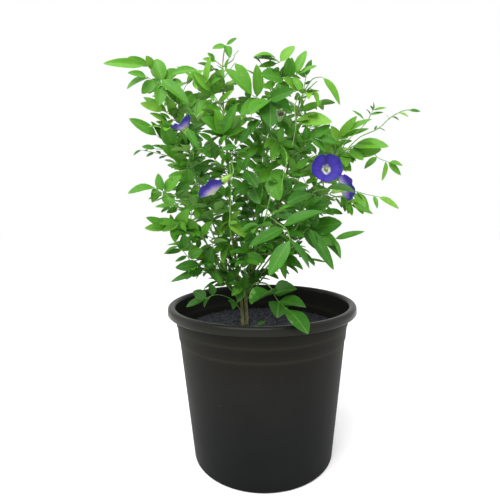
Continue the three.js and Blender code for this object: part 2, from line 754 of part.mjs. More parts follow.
function calyxSolid(frame, root) {
  const mouth = -BANNER_THICKNESS / 2 - SEAT_GAP;
  const profile = [
    [0, mouth - CALYX_LENGTH],
    [PEDICEL_RADIUS, mouth - CALYX_LENGTH],
    ...CALYX_OUTLINE.map(([behind, radius]) => [radius * CALYX_RADIUS, mouth - behind * CALYX_LENGTH]),
    [0, mouth],
  ];
  const cup = turned(profile, 8).applyMatrix4(frame);
  const foot = new THREE.Vector3(0, 0, mouth - 0.9 * CALYX_LENGTH).applyMatrix4(frame);
  const bend = new THREE.Vector3(0, 0, mouth - PEDICEL_BEND * CALYX_LENGTH).applyMatrix4(frame);
  const pedicel = new THREE.QuadraticBezierCurve3(root, bend, foot);
  return solidOf(cup).add(solidOf(taperedTube(pedicel, PEDICEL_RADIUS, PEDICEL_RADIUS, 5, 5)));
}

// The frame of the calyx of a hooded flower, which opens towards the banner from the upper end of its fold
function hoodFrame(frame) {
  const end = new THREE.Vector3(0, (BANNER_LENGTH - BANNER_THICKNESS) / 2, BANNER_DISH);
  const turn = new THREE.Matrix4().makeRotationX(degrees(90)).setPosition(end);
  return frame.clone().multiply(turn);
}

function makeFlower({ name, on, at, centre, looks, open, hooded }) {
  const { curve, seat } = stalks[on];
  const facing = vector(looks);
  const side = new THREE.Vector3(0, 0, 1).cross(facing);
  const frame = new THREE.Matrix4().makeBasis(
    side.normalize(),
    facing.clone().cross(side).normalize(),
    facing.normalize(),
  );
  frame.setPosition(vector(centre));
  return [
    [name + "_banner", bannerSolid(frame, open), petalViolet],
    [name + "_keel", keelSolid(frame, open), keelPale],
    [
      name + "_calyx",
      mainBody(calyxSolid(hooded ? hoodFrame(frame) : frame, curve.getPointAt(at)).subtract(seat)),
      calyxGreen,
    ],
  ];
}

const group = new THREE.Group();
group.name = "potted_butterfly_pea";

function place(name, solid, finish) {
  placed.push(solid);
  group.add(meshOf(name, solid, finish));
}

STEMS.forEach(makeStem);
VINES.forEach(makeVine);
place("pot", makePot(), potPlastic);
place("potting_mix", makeMix(STEMS.map(({ name }) => stalks[name].seat)), mixMatter);
for (const { name } of STEMS) place(name, stalks[name].solid, barkGreen);
for (const { name } of VINES) place(name, stalks[name].solid, vineGreen);
for (const flower of FLOWERS) makeFlower(flower).forEach((piece) => place(...piece));
for (const [stalkName, leaves] of Object.entries(BACK_LEAVES)) {
  for (const leaf of leaves) place(leaf.name, makeLeaf(stalkName, leaf, backLeafSolid, ROLLS), leafGreen);
}
for (const [stalkName, leaves] of Object.entries(LEAVES)) {
  for (const leaf of leaves) place(leaf.name, makeLeaf(stalkName, leaf, leafSolid, SHIFTS), leafGreen);
}

export default group;
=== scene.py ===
# %% [markdown]
# # A potted butterfly pea
# A young climbing plant stands in a black nursery pot: woody stems that fan out, thin vines, leaves of up to
# seven leaflets, and four violet flowers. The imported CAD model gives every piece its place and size. This
# lesson grows the finer plant on the same lines, in metres, with the pot's base at the origin.

# %% Load the frame
import math
import random

import bmesh
import bpy
import numpy as np
from mathutils import Matrix, Vector, noise


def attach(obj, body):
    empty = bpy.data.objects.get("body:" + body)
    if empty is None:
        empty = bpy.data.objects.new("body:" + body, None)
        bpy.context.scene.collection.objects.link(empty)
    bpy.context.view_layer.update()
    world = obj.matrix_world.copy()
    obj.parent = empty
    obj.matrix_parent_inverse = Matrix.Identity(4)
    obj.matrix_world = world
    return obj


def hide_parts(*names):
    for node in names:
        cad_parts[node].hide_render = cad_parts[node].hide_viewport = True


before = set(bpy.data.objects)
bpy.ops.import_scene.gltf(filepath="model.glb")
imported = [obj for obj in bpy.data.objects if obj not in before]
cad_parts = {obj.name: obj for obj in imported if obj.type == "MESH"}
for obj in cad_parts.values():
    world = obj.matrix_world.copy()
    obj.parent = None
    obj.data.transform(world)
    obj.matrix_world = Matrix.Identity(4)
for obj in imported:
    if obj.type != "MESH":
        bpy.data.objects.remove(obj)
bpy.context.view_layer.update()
MM = 0.001
UP = Vector((0, 0, 1))

# %% [markdown]
# ## Helpers
# Colours are picked on screen, so they are sRGB hex values, and one function turns them linear. Node trees
# are made in code: one helper adds a node, sets what it is given and links what it is handed.

# %% Colours and nodes
MATH = "ShaderNodeMath"
MIX = "ShaderNodeMix"
RAMP = "ShaderNodeValToRGB"
NOISE = "ShaderNodeTexNoise"
MAP_RANGE = "ShaderNodeMapRange"
BUMP = "ShaderNodeBump"
PRINCIPLED = "ShaderNodeBsdfPrincipled"


def linear(hex_colour):
    """An sRGB hex colour as the linear RGBA that Blender works in."""
    channels = [int(hex_colour[at : at + 2], 16) / 255 for at in (0, 2, 4)]
    return (*(c / 12.92 if c <= 0.04045 else ((c + 0.055) / 1.055) ** 2.4 for c in channels), 1.0)


def add(tree, kind, inputs=(), stops=(), **settings):
    """Adds a node. Its inputs are a list for its first sockets, or a dict by the sockets' names or numbers.

    Each is a value, or the node or output that feeds it. A ramp also takes (position, colour) stops."""
    node = tree.nodes.new(kind)
    for name, value in settings.items():
        setattr(node, name, value)
    for key, value in inputs.items() if isinstance(inputs, dict) else enumerate(inputs):
        if isinstance(value, bpy.types.Node):
            value = next(output for output in value.outputs if output.enabled)
        if isinstance(value, bpy.types.NodeSocket):
            tree.links.new(value, node.inputs[key])
        else:
            node.inputs[key].default_value = value
    while stops and len(node.color_ramp.elements) < len(stops):
        node.color_ramp.elements.new(0.5)
    for at, (position, colour) in enumerate(stops):
        node.color_ramp.elements[at].position = position
        node.color_ramp.elements[at].color = linear(colour)
    return node


def per_metre(size):
    """The scale of a noise whose patches are size mm across."""
    return 1 / (size * MM)


def new_material(name):
    """An empty material and its tree."""
    made = bpy.data.materials.new(name)
    made.use_nodes = True
    made.node_tree.nodes.clear()
    return made, made.node_tree


# %% Geometry trees, meshes and pieces
def new_geometry_tree(name, inputs):
    """A Geometry Nodes tree with named inputs. Each is given as its usual number or its kind of socket."""
    tree = bpy.data.node_groups.new(name, "GeometryNodeTree")
    tree.interface.new_socket("Geometry", in_out="INPUT", socket_type="NodeSocketGeometry")
    for label, value in inputs.items():
        kind = {int: "Int", float: "Float"}.get(type(value), value)
        socket = tree.interface.new_socket(label, in_out="INPUT", socket_type="NodeSocket" + kind)
        if kind != value:
            socket.default_value = value
    tree.interface.new_socket("Geometry", in_out="OUTPUT", socket_type="NodeSocketGeometry")
    return tree, tree.nodes.new("NodeGroupInput").outputs


def object_of(name, data):
    """A new object at the origin that shows a mesh, or is a lamp or a camera."""
    made = bpy.data.objects.new(name, data)
    bpy.context.scene.collection.objects.link(made)
    return made


def mesh_from(form, name, sharp_from=None):
    """A bmesh as a mesh. With sharp_from its faces are smooth, up to edges that turn by that many degrees."""
    if sharp_from:
        for face in form.faces:
            face.smooth = True
        for edge in form.edges:
            edge.smooth = edge.calc_face_angle(0) < math.radians(sharp_from)
    mesh = bpy.data.meshes.new(name)
    form.to_mesh(mesh)
    form.free()
    return mesh


def carry(mesh, name, kind, domain, values):
    """Lets each point or face of a mesh carry a value under a name, for trees and finishes to read."""
    field = "vector" if kind == "FLOAT_VECTOR" else "value"
    mesh.attributes.new(name, kind, domain).data.foreach_set(field, np.ravel(values).tolist())


def grown(name, source, tree, values):
    """What a tree makes of a source mesh, as a plain mesh object without its modifier."""
    seed = object_of(name + "_source", source)
    modifier = seed.modifiers.new("grow", "NODES")
    modifier.node_group = tree
    keys = {item.name: item.identifier for item in tree.interface.items_tree if item.in_out == "INPUT"}
    for label, value in values.items():
        modifier[keys[label]] = value
    mesh = bpy.data.meshes.new_from_object(seed.evaluated_get(bpy.context.evaluated_depsgraph_get()))
    bpy.data.objects.remove(seed)
    mesh.name = name
    return object_of(name, mesh)


def finished(piece, replaced=(), finish=None):
    """Gives a piece its finish, if one is given, lets it ride on the part, and hides the CAD nodes that it
    stands for.
    """
    if finish:
        piece.data.materials.append(finish)
    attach(piece, "root")
    if replaced:
        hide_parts(*replaced)


def triangles(piece):
    """How many triangles a piece has."""
    return sum(len(polygon.vertices) - 2 for polygon in piece.data.polygons)


# %% [markdown]
# ## Camera
# The picture was taken with a phone's wide lens from about half a metre away, a little above the rim. The
# distance and angle come from fitting the two rim ellipses and the base of the pot to its outline.

# %% Camera
CAMERA_PLACE = Vector((-0.0152, -0.537, 0.3396))
CAMERA_LENS = 27.86
CAMERA_PITCH = math.radians(-5.46)
CAMERA_ROLL = math.radians(-0.8)

camera_data = bpy.data.cameras.new("camera")
camera_data.sensor_width = 36
camera_data.lens = CAMERA_LENS
camera = object_of("camera", camera_data)
tilt = Matrix.Rotation(math.radians(90) + CAMERA_PITCH, 4, "X")
camera.matrix_world = Matrix.Translation(CAMERA_PLACE) @ tilt @ Matrix.Rotation(CAMERA_ROLL, 4, "Z")
bpy.context.scene.camera = camera
bpy.context.scene.view_settings.view_transform = "Standard"
print("camera", [round(v, 3) for v in camera.location], "lens", CAMERA_LENS)

# %% [markdown]
# ## Floor and light
# The object stands on a white sweep under even studio light, so the shadows are faint. A white world gives
# the even part. One large softbox above and in front models the leaves, and two tall ones draw the paler
# edges that the black plastic shows on its left and right.

# %% Floor and lights
HALF_FLOOR = 6.0
# Each lamp's place, what it is aimed at, its width and height, all in metres, its watts and its tint
LIGHTS = {
    "softbox_above": ((-0.35, -0.75, 1.45), (0, 0, 0.35), (1.2, 1.0), 26, "fffdf8"),
    "strip_left": ((-1.1, 0.15, 0.45), (0, 0, 0.2), (0.35, 1.0), 1.5, "eefff2"),
    "strip_right": ((1.1, 0.05, 0.5), (0, 0, 0.2), (0.35, 1.0), 1.5, "e4e0ff"),
}
floor_mesh = bpy.data.meshes.new("floor")
corners = [(x * HALF_FLOOR, y * HALF_FLOOR, 0) for x, y in ((-1, -1), (1, -1), (1, 1), (-1, 1))]
floor_mesh.from_pydata(corners, [], [(0, 1, 2, 3)])
floor = object_of("floor", floor_mesh)
floor_finish, tree = new_material("matt_white_paper_sweep")
paper = add(tree, PRINCIPLED, {"Base Color": linear("ffffff"), "Roughness": 0.9})
add(tree, "ShaderNodeOutputMaterial", {"Surface": paper})
floor.data.materials.append(floor_finish)

world = bpy.data.worlds.new("studio")
world.use_nodes = True
world.node_tree.nodes.clear()
sky = add(world.node_tree, "ShaderNodeBackground", {"Color": (1, 1, 1, 1), "Strength": 1.0})
add(world.node_tree, "ShaderNodeOutputWorld", {"Surface": sky})
bpy.context.scene.world = world

for name, (place, aim, size, watts, tint) in LIGHTS.items():
    lamp_data = bpy.data.lights.new(name, "AREA")
    lamp_data.shape = "RECTANGLE"
    lamp_data.size, lamp_data.size_y = size
    lamp_data.energy = watts
    lamp_data.color = linear(tint)[:3]
    lamp = object_of(name, lamp_data)
    lamp.location = place
    lamp.rotation_euler = (Vector(aim) - Vector(place)).to_track_quat("-Z", "Y").to_euler()
print("lights:", ", ".join(LIGHTS))

# %% [markdown]
# ## Pot
# A nursery pot is injection moulded from recycled black polypropylene: a thin tapered wall with a rolled rim
# and two faint steps below it. Every level of it is round, so one profile turned about the upright axis
# makes it. The drain holes are cut out of the floor afterwards.


# %% Turning a profile
def turned(name, profile, sides):
    """A closed profile of (radius, height) points in mm, turned about Z. Its ends are on the axis."""
    form = bmesh.new()
    first, last = (form.verts.new((0, 0, profile[end][1] * MM)) for end in (0, -1))
    turns = [math.tau * side / sides for side in range(sides)]
    rings = [
        [form.verts.new((radius * MM * math.cos(t), radius * MM * math.sin(t), height * MM)) for t in turns]
        for radius, height in profile[1:-1]
    ]
    for side in range(sides):
        after = (side + 1) % sides
        form.faces.new((first, rings[0][after], rings[0][side]))
        form.faces.new((last, rings[-1][side], rings[-1][after]))
        for low, high in zip(rings, rings[1:]):
            form.faces.new((low[side], low[after], high[after], high[side]))
    return mesh_from(form, name, 40)


def arc(centre, radius, start, end, count):
    """Points on part of a circle in a profile, angles in degrees."""
    angles = [math.radians(start + (end - start) * step / count) for step in range(count + 1)]
    return [(centre[0] + radius * math.cos(a), centre[1] + radius * math.sin(a)) for a in angles]


# %% Pot shape
POT_HEIGHT = 216
RIM_RADIUS = 130
RIM_BAND = 10.5
RIM_UNDERSIDE = 211
RIM_TOP_ROUNDING = 4.5
SHOULDER_RADIUS = 121
BASE_RADIUS = 98.5
POT_WALL = 2
POT_FLOOR = 2.5
FOOT_ROUNDING = 3
MOUTH_RADIUS = 119.3
STEP_HEIGHTS = (171, 189)
STEP_DEPTH = 0.9
STEP_SLOPE = 1
POT_SIDES = 144
DRAIN_HOLE_RADIUS = 4.5
DRAIN_RINGS = ((40, 4), (76, 8))


def wall_radius(height):
    """Outer radius of the wall, which grows by a small step at each moulded line."""
    plain_top = SHOULDER_RADIUS - len(STEP_HEIGHTS) * STEP_DEPTH
    steps_below = sum(height > step for step in STEP_HEIGHTS)
    return BASE_RADIUS + (plain_top - BASE_RADIUS) * height / POT_HEIGHT + STEP_DEPTH * steps_below


def inner_radius(height):
    """Inner radius of the wall: the steps show on the inside too."""
    return wall_radius(height) - POT_WALL


rim_foot = POT_HEIGHT - RIM_BAND
roll = RIM_TOP_ROUNDING
levels = [step + side * STEP_SLOPE for step in STEP_HEIGHTS for side in (-1, 1)]
# up the outside: foot, steps, the hollow under the rim and the rim's outer face
pot_profile = [(0, 0), (BASE_RADIUS - FOOT_ROUNDING, 0)]
pot_profile += arc((BASE_RADIUS - FOOT_ROUNDING, FOOT_ROUNDING), FOOT_ROUNDING, -60, 0, 3)
pot_profile += [(wall_radius(level), level) for level in levels]
pot_profile += [(SHOULDER_RADIUS - 0.4, rim_foot - 2), (SHOULDER_RADIUS, rim_foot)]
pot_profile += [(SHOULDER_RADIUS + 1.5, RIM_UNDERSIDE), (RIM_RADIUS - 3.5, RIM_UNDERSIDE)]
pot_profile += [(RIM_RADIUS - 2, rim_foot), (RIM_RADIUS - 0.6, rim_foot), (RIM_RADIUS, rim_foot + 0.8)]
pot_profile += [(RIM_RADIUS - 0.2, POT_HEIGHT - roll)]
# over the rolled top and down the inside
pot_profile += arc((RIM_RADIUS - roll - 0.2, POT_HEIGHT - roll), roll, 20, 90, 4)
pot_profile += arc((MOUTH_RADIUS + roll, POT_HEIGHT - roll), roll, 90, 180, 5)
pot_profile += [(inner_radius(level), level) for level in [rim_foot, *reversed(levels)]]
pot_profile += [(inner_radius(POT_FLOOR + FOOT_ROUNDING), POT_FLOOR + FOOT_ROUNDING)]
pot_profile += [(BASE_RADIUS - POT_WALL - FOOT_ROUNDING, POT_FLOOR), (0, POT_FLOOR)]
pot = object_of("nursery_pot", turned("nursery_pot", pot_profile, POT_SIDES))

drills = bmesh.new()
drill = {"segments": 24, "radius1": DRAIN_HOLE_RADIUS * MM, "radius2": DRAIN_HOLE_RADIUS * MM}
for radius, count in DRAIN_RINGS:
    for hole in range(count):
        turn = math.tau * (hole + 0.5) / count
        place = Matrix.Translation((radius * MM * math.cos(turn), radius * MM * math.sin(turn), 0))
        bmesh.ops.create_cone(drills, cap_ends=True, depth=5 * POT_FLOOR * MM, matrix=place, **drill)
drills = object_of("drills", mesh_from(drills, "drills"))
cut = pot.modifiers.new("drain_holes", "BOOLEAN")
cut.object = drills
cut.solver = "EXACT"
drained = bpy.data.meshes.new_from_object(pot.evaluated_get(bpy.context.evaluated_depsgraph_get()))
pot.modifiers.clear()
pot.data = drained
bpy.data.objects.remove(drills)
print("pot:", triangles(pot), "triangles")

# %% [markdown]
# Recycled polypropylene is a soft black with a satin skin: the mould leaves a fine grain, handling leaves
# pale scuffs and dust, and the skin is a little rougher where it rubbed.


# %% Pot finish
def make_pot_finish(name, shine, roughest):
    """Moulded recycled black polypropylene, with how much its skin shines."""
    made, tree = new_material(name)
    place = add(tree, "ShaderNodeTexCoord").outputs["Object"]
    cloud = add(tree, NOISE, {"Vector": place, "Scale": per_metre(70), "Detail": 3, "Roughness": 0.6})
    height = add(tree, "ShaderNodeSeparateXYZ", [place]).outputs["Z"]
    share = add(tree, MATH, [height, POT_HEIGHT * MM], operation="DIVIDE")
    # the black is made a little darker towards the foot
    up_the_wall = [(0.0, "18191a"), (0.25, "1a1b1c"), (0.6, "20201f"), (0.8, "201f1b"), (1.0, "20201c")]
    darker_towards_foot = add(tree, RAMP, {"Fac": share}, up_the_wall)
    clouded = add(tree, RAMP, {"Fac": cloud}, [(0.3, "e0e0e0"), (0.55, "f0f0f0"), (0.8, "ffffff")])
    both = {"Factor": 1.0, "A": darker_towards_foot, "B": clouded}
    plain = add(tree, MIX, both, data_type="RGBA", blend_type="MULTIPLY")
    # painted highlight: a paler band is painted along each moulded step, where the step catches the light
    lines = [(0.0, "000000")]
    for step in STEP_HEIGHTS:
        for above, light in ((-5, "000000"), (-1, "ffffff"), (1, "808080"), (7, "000000")):
            lines.append(((step + above) / POT_HEIGHT, light))
    painted_step_highlights = add(tree, RAMP, {"Fac": share}, lines)
    colour = add(tree, MIX, {"Factor": painted_step_highlights, "A": plain, "B": linear("262620")}, data_type="RGBA")
    slant = {"Vector": place, "Rotation": (0.3, 0.2, 0.9), "Scale": (1, 1, 3)}
    slanted = add(tree, "ShaderNodeMapping", slant)
    scuff = add(tree, NOISE, {"Vector": slanted, "Scale": per_metre(11), "Detail": 6, "Roughness": 0.75})
    marks = add(tree, RAMP, {"Fac": scuff}, [(0.66, "000000"), (0.76, "909090")])
    worn = add(tree, MIX, {"Factor": marks, "A": colour, "B": linear("6b6d6b")}, data_type="RGBA")
    # the mould's grain is a few tenths of a millimetre, too fine to show, so it is drawn coarser
    grain = add(tree, NOISE, {"Vector": place, "Scale": per_metre(1.1), "Detail": 2})
    skin = add(tree, BUMP, {"Strength": 0.12, "Distance": 0.3 * MM, "Height": grain})
    sheen = add(tree, MAP_RANGE, {"Value": cloud, "To Min": roughest - 0.17, "To Max": roughest})
    looks = {"Base Color": worn, "Roughness": sheen, "Specular IOR Level": shine, "Normal": skin}
    add(tree, "ShaderNodeOutputMaterial", {"Surface": add(tree, PRINCIPLED, looks)})
    return made


pot.data.materials.clear()
pot.data.materials.append(make_pot_finish("moulded_recycled_polypropylene", 0.03, 0.6))
# the rim is smoother, because it is where the pot is held
pot.data.materials.append(make_pot_finish("rim_polished_by_handling", 0.09, 0.38))
for polygon in pot.data.polygons:
    outside_mouth = polygon.center.xy.length > MOUTH_RADIUS * MM
    polygon.material_index = int(polygon.center.z > rim_foot * MM and outside_mouth)
finished(pot, ["pot"])

# %% [markdown]
# ## Potting mix
# The pot is filled with dark peat and bark to four centimetres under the rim. Its body is a turned form with
# a lumpy top. Loose crumbs are strewn over it: a Geometry Nodes tree scatters points on the top and puts a
# small lump on each, because nobody would place a thousand crumbs by hand.

# %% Body of the mix
MIX_LEVEL = 177
MIX_MOUND = 5
MIX_SIDES = 96
MIX_RINGS = 30
MIX_GAP = 0.4
LUMPS = {"size": 14, "height": 1.6}
GRIT = {"size": 3.5, "height": 0.6}
edge_radius = inner_radius(MIX_LEVEL) - STEP_DEPTH - MIX_GAP
mix_profile = [(0, POT_FLOOR + 0.3), (BASE_RADIUS - 5.5, POT_FLOOR + 0.3), (inner_radius(8) - MIX_GAP, 8)]
mix_profile += [(edge_radius, MIX_LEVEL - 2)]
for ring in range(MIX_RINGS + 1):
    mix_profile.append((edge_radius * (1 - ring / MIX_RINGS), MIX_LEVEL + MIX_MOUND * ring / MIX_RINGS))
mix_mesh = turned("potting_mix_body", mix_profile, MIX_SIDES)
for vertex in mix_mesh.vertices:
    x, y, z = vertex.co
    inside = 1 - math.hypot(x, y) / (edge_radius * MM)
    if z >= (MIX_LEVEL - 0.5) * MM and inside > 0.01:
        lumps = noise.fractal(Vector((x, y, 0)) / (LUMPS["size"] * MM), 0.9, 2.1, 4)
        grit = noise.fractal(Vector((x, y, 5)) / (GRIT["size"] * MM), 0.8, 2.2, 3)
        vertex.co.z += (LUMPS["height"] * lumps + GRIT["height"] * grit) * MM
mix_body = object_of("potting_mix_body", mix_mesh)
print("potting mix:", triangles(mix_body), "triangles")


# %% Crumbs strewn over the mix
CRUMB_SEED = 3
CRUMBS_PER_SQUARE_METRE = 60000.0
CRUMB_SIZES = (1.2, 5)
# The higher, the rarer the large crumbs are
CRUMB_RARITY = 3.0
LUMP_ROUGHNESS = 0.35
LUMP_FLATNESS = 0.7


def lump_mesh(name, seed, stretch):
    """A small closed lump with a few dozen faces, about one unit across."""
    form = bmesh.new()
    bmesh.ops.create_icosphere(form, subdivisions=1, radius=0.5)
    for vertex in form.verts:
        vertex.co *= 1 + LUMP_ROUGHNESS * noise.noise(vertex.co * 3 + Vector((seed, 0, 0)))
        vertex.co.x *= stretch
        vertex.co.z *= LUMP_FLATNESS
    return mesh_from(form, name)


def make_crumb_tree():
    """Scatters lumps over the upward faces of a mesh, larger ones rarer."""
    smallest, largest = CRUMB_SIZES
    inputs = {"Per square metre": CRUMBS_PER_SQUARE_METRE, "Smallest": smallest * MM, "Largest": largest * MM}
    inputs |= {"Seed": CRUMB_SEED, "Lump": "Object", "Finish": "Material"}
    tree, given = new_geometry_tree("strewn_crumbs", inputs)
    height = add(tree, "ShaderNodeSeparateXYZ", [add(tree, "GeometryNodeInputPosition")]).outputs["Z"]
    above = {"A": height, "B": (MIX_LEVEL - 1.5) * MM}
    on_top = add(tree, "FunctionNodeCompare", above, data_type="FLOAT", operation="GREATER_THAN")
    where = {"Mesh": given["Geometry"], "Selection": on_top}
    where |= {"Density": given["Per square metre"], "Seed": given["Seed"]}
    points = add(tree, "GeometryNodeDistributePointsOnFaces", where)
    chance = add(tree, "FunctionNodeRandomValue", {"Seed": given["Seed"]}, data_type="FLOAT")
    rarer = add(tree, MATH, [chance, CRUMB_RARITY], operation="POWER")
    size = add(tree, MAP_RANGE, {"Value": rarer, "To Min": given["Smallest"], "To Max": given["Largest"]})
    turn = add(tree, "FunctionNodeRandomValue", [(0, 0, 0), (math.tau,) * 3], data_type="FLOAT_VECTOR")
    lump = add(tree, "GeometryNodeObjectInfo", {"Object": given["Lump"]}).outputs["Geometry"]
    set_lumps = {"Points": points, "Instance": lump, "Rotation": turn, "Scale": size}
    strewn = add(tree, "GeometryNodeInstanceOnPoints", set_lumps)
    real = add(tree, "GeometryNodeRealizeInstances", [strewn])
    tint = add(tree, "GeometryNodeSetMaterial", {"Geometry": real, "Material": given["Finish"]})
    add(tree, "NodeGroupOutput", [tint])
    return tree


def make_mix_finish():
    """Moist peat and bark: nearly black, in blotches of bluish grey."""
    made, tree = new_material("moist_peat_and_bark")
    place = add(tree, "ShaderNodeTexCoord").outputs["Object"]
    patch = add(tree, NOISE, {"Vector": place, "Scale": per_metre(4.5), "Detail": 4, "Roughness": 0.7})
    blue_grey_blotches = [(0.3, "181a20"), (0.5, "262930"), (0.64, "333640"), (0.78, "545966")]
    colour = add(tree, RAMP, {"Fac": patch}, blue_grey_blotches)
    fine = add(tree, NOISE, {"Vector": place, "Scale": per_metre(1.4), "Detail": 3})
    rough = add(tree, BUMP, {"Strength": 0.6, "Distance": 1 * MM, "Height": fine})
    looks = {"Base Color": colour, "Roughness": 0.85, "Specular IOR Level": 0.4, "Normal": rough}
    add(tree, "ShaderNodeOutputMaterial", {"Surface": add(tree, PRINCIPLED, looks)})
    return made


mix_finish = make_mix_finish()
lump = object_of("lump", lump_mesh("lump", 4.2, 1.4))
values = {"Lump": lump, "Finish": mix_finish, "Seed": CRUMB_SEED}
mix_body.data.materials.append(mix_finish)
crumbs = grown("potting_mix_crumbs", mix_body.data.copy(), make_crumb_tree(), values)
bpy.data.objects.remove(lump)
finished(mix_body, ["potting_mix"])
finished(crumbs)
print("crumbs:", triangles(crumbs), "triangles")

# %% [markdown]
# ## Stems and vines
# Two woody stems rise from the mix and part into vines that arch outwards. Each one is a route of points
# chosen along its course, the same as in the CAD model, with a smooth curve through them. Each thins evenly
# towards its tip, so the route also carries its radius. A tree sweeps a circle along the route.

# %% Routes in millimetres
STEMS = {
    "stem_left": [(-26, 0, 140), (-27, 0, 184), (-29, 0, 223), (-31, -2, 240), (-35, -8, 273),
        (-39, -22, 317), (-40, -38, 363), (-41, -41, 400), (-46, -34, 457), (-47, -20, 504), (-47, -14, 535),
        (-44, -14, 554)],
    "stem_right": [(-21, 1, 140), (-21, 2, 184), (-22, 2, 223), (-19, 1, 241), (-5, -10, 273), (14, -30, 314),
        (26, -44, 362), (37, -52, 416), (42, -54, 451), (50, -52, 479), (60, -50, 497)],
}
# A vine starts on its parent at the height given
VINES = {
    "vine_low_left": ("stem_left", 214, [(-50, -10, 243), (-67, -22, 257), (-84, -34, 271), (-95, -42, 280)]),
    "vine_lower_left": ("stem_left", 221, [(-54, -12, 254), (-77, -24, 279), (-93, -38, 303),
        (-108, -50, 322)]),
    "vine_left": ("stem_left", 228, [(-48, -18, 265), (-70, -36, 299), (-89, -54, 329), (-105, -64, 353),
        (-119, -68, 366)]),
    "vine_back_left": ("stem_left", 235, [(-53, 24, 275), (-78, 46, 327), (-96, 62, 391), (-108, 72, 445),
        (-115, 76, 499), (-116, 72, 525)]),
    "vine_upper_left": ("stem_left", 242, [(-46, -16, 284), (-62, -32, 324), (-76, -46, 369), (-87, -60, 416),
        (-98, -68, 457), (-110, -72, 483), (-121, -74, 496)]),
    "vine_top_middle": ("stem_left", 262, [(-22, 4, 295), (-8, -4, 336), (2, -18, 380), (10, -32, 431),
        (15, -40, 473), (15, -44, 504), (12, -44, 518)]),
    "vine_lower_right": ("stem_right", 216, [(8, 2, 255), (36, -12, 288), (60, -26, 309), (81, -38, 314)]),
    "vine_front": ("stem_right", 222, [(-10, -24, 244), (4, -48, 250), (13, -70, 244)]),
    "vine_right_low": ("stem_right", 229, [(4, -16, 262), (27, -30, 291), (49, -42, 327), (68, -50, 350),
        (91, -50, 358), (114, -46, 360)]),
    "vine_right": ("stem_right", 235, [(12, 16, 273), (46, 22, 322), (79, 22, 371), (106, 14, 409),
        (124, 6, 427), (142, 0, 432)]),
    "vine_back_right": ("stem_right", 241, [(16, 42, 282), (63, 66, 335), (93, 80, 393), (107, 84, 452),
        (112, 82, 482)]),
    "vine_back": ("stem_right", 247, [(-14, 40, 285), (4, 72, 336), (19, 92, 408), (29, 100, 472),
        (36, 98, 521)]),
    "vine_front_middle": ("stem_right", 256, [(-12, -34, 282), (-4, -62, 309), (4, -84, 337),
        (10, -98, 365)]),
    "twig_right": ("vine_right", 422, [(136, 2, 440), (156, -14, 448), (172, -16, 462), (191, -14, 471),
        (206, -14, 471)]),
}
print("stalks:", len(STEMS), "stems,", len(VINES), "vines and twigs")


# %% A smooth course through route points
def smooth_course(points, per_span=10):
    """A centripetal Catmull-Rom curve through points, as an array of closely spaced ones."""
    p = np.array(points, float)
    p = np.vstack([2 * p[0] - p[1], p, 2 * p[-1] - p[-2]])
    out = []
    for before, start, end, after in zip(p, p[1:], p[2:], p[3:]):
        d0, d1, d2 = (np.linalg.norm(b - a) ** 0.5 for a, b in ((before, start), (start, end), (end, after)))
        leave = ((start - before) / d0 - (end - before) / (d0 + d1) + (end - start) / d1) * d1
        arrive = ((end - start) / d1 - (after - start) / (d1 + d2) + (after - end) / d2) * d1
        for t in np.linspace(0, 1, per_span, endpoint=False):
            h = (2 * t**3 - 3 * t**2 + 1, t**3 - 2 * t**2 + t, -2 * t**3 + 3 * t**2, t**3 - t**2)
            out.append(h[0] * start + h[1] * leave + h[2] * end + h[3] * arrive)
    return np.array(out + [p[-2]])


def length_of(course):
    """The length of a course."""
    return float(np.linalg.norm(np.diff(course, axis=0), axis=1).sum())


def point_along(course, share):
    """The point at a share of a course's length, and the direction there."""
    steps = np.linalg.norm(np.diff(course, axis=0), axis=1)
    reach = np.concatenate([[0], np.cumsum(steps)])
    wanted = share * reach[-1]
    point = np.array([np.interp(wanted, reach, course[:, axis]) for axis in range(3)])
    at = min(np.searchsorted(reach, wanted, side="right") - 1, len(course) - 2)
    return Vector(point), Vector(course[at + 1] - course[at]).normalized()


def point_at_height(course, height):
    """Where a rising course passes a height."""
    at = int(np.argmax(course[:, 2] >= height))
    share = (height - course[at - 1, 2]) / (course[at, 2] - course[at - 1, 2])
    return course[at - 1] + share * (course[at] - course[at - 1])


def bow(start, middle, end, share):
    """A point of the bow from start to end that leans towards middle, at a share of its way."""
    return start * (1 - share) ** 2 + middle * 2 * share * (1 - share) + end * share**2


courses = {name: smooth_course(points) for name, points in STEMS.items()}
for name, (parent, height, points) in VINES.items():
    courses[name] = smooth_course([point_at_height(courses[parent], height), *points])
print("routes:", {name: round(length_of(course)) for name, course in courses.items()})
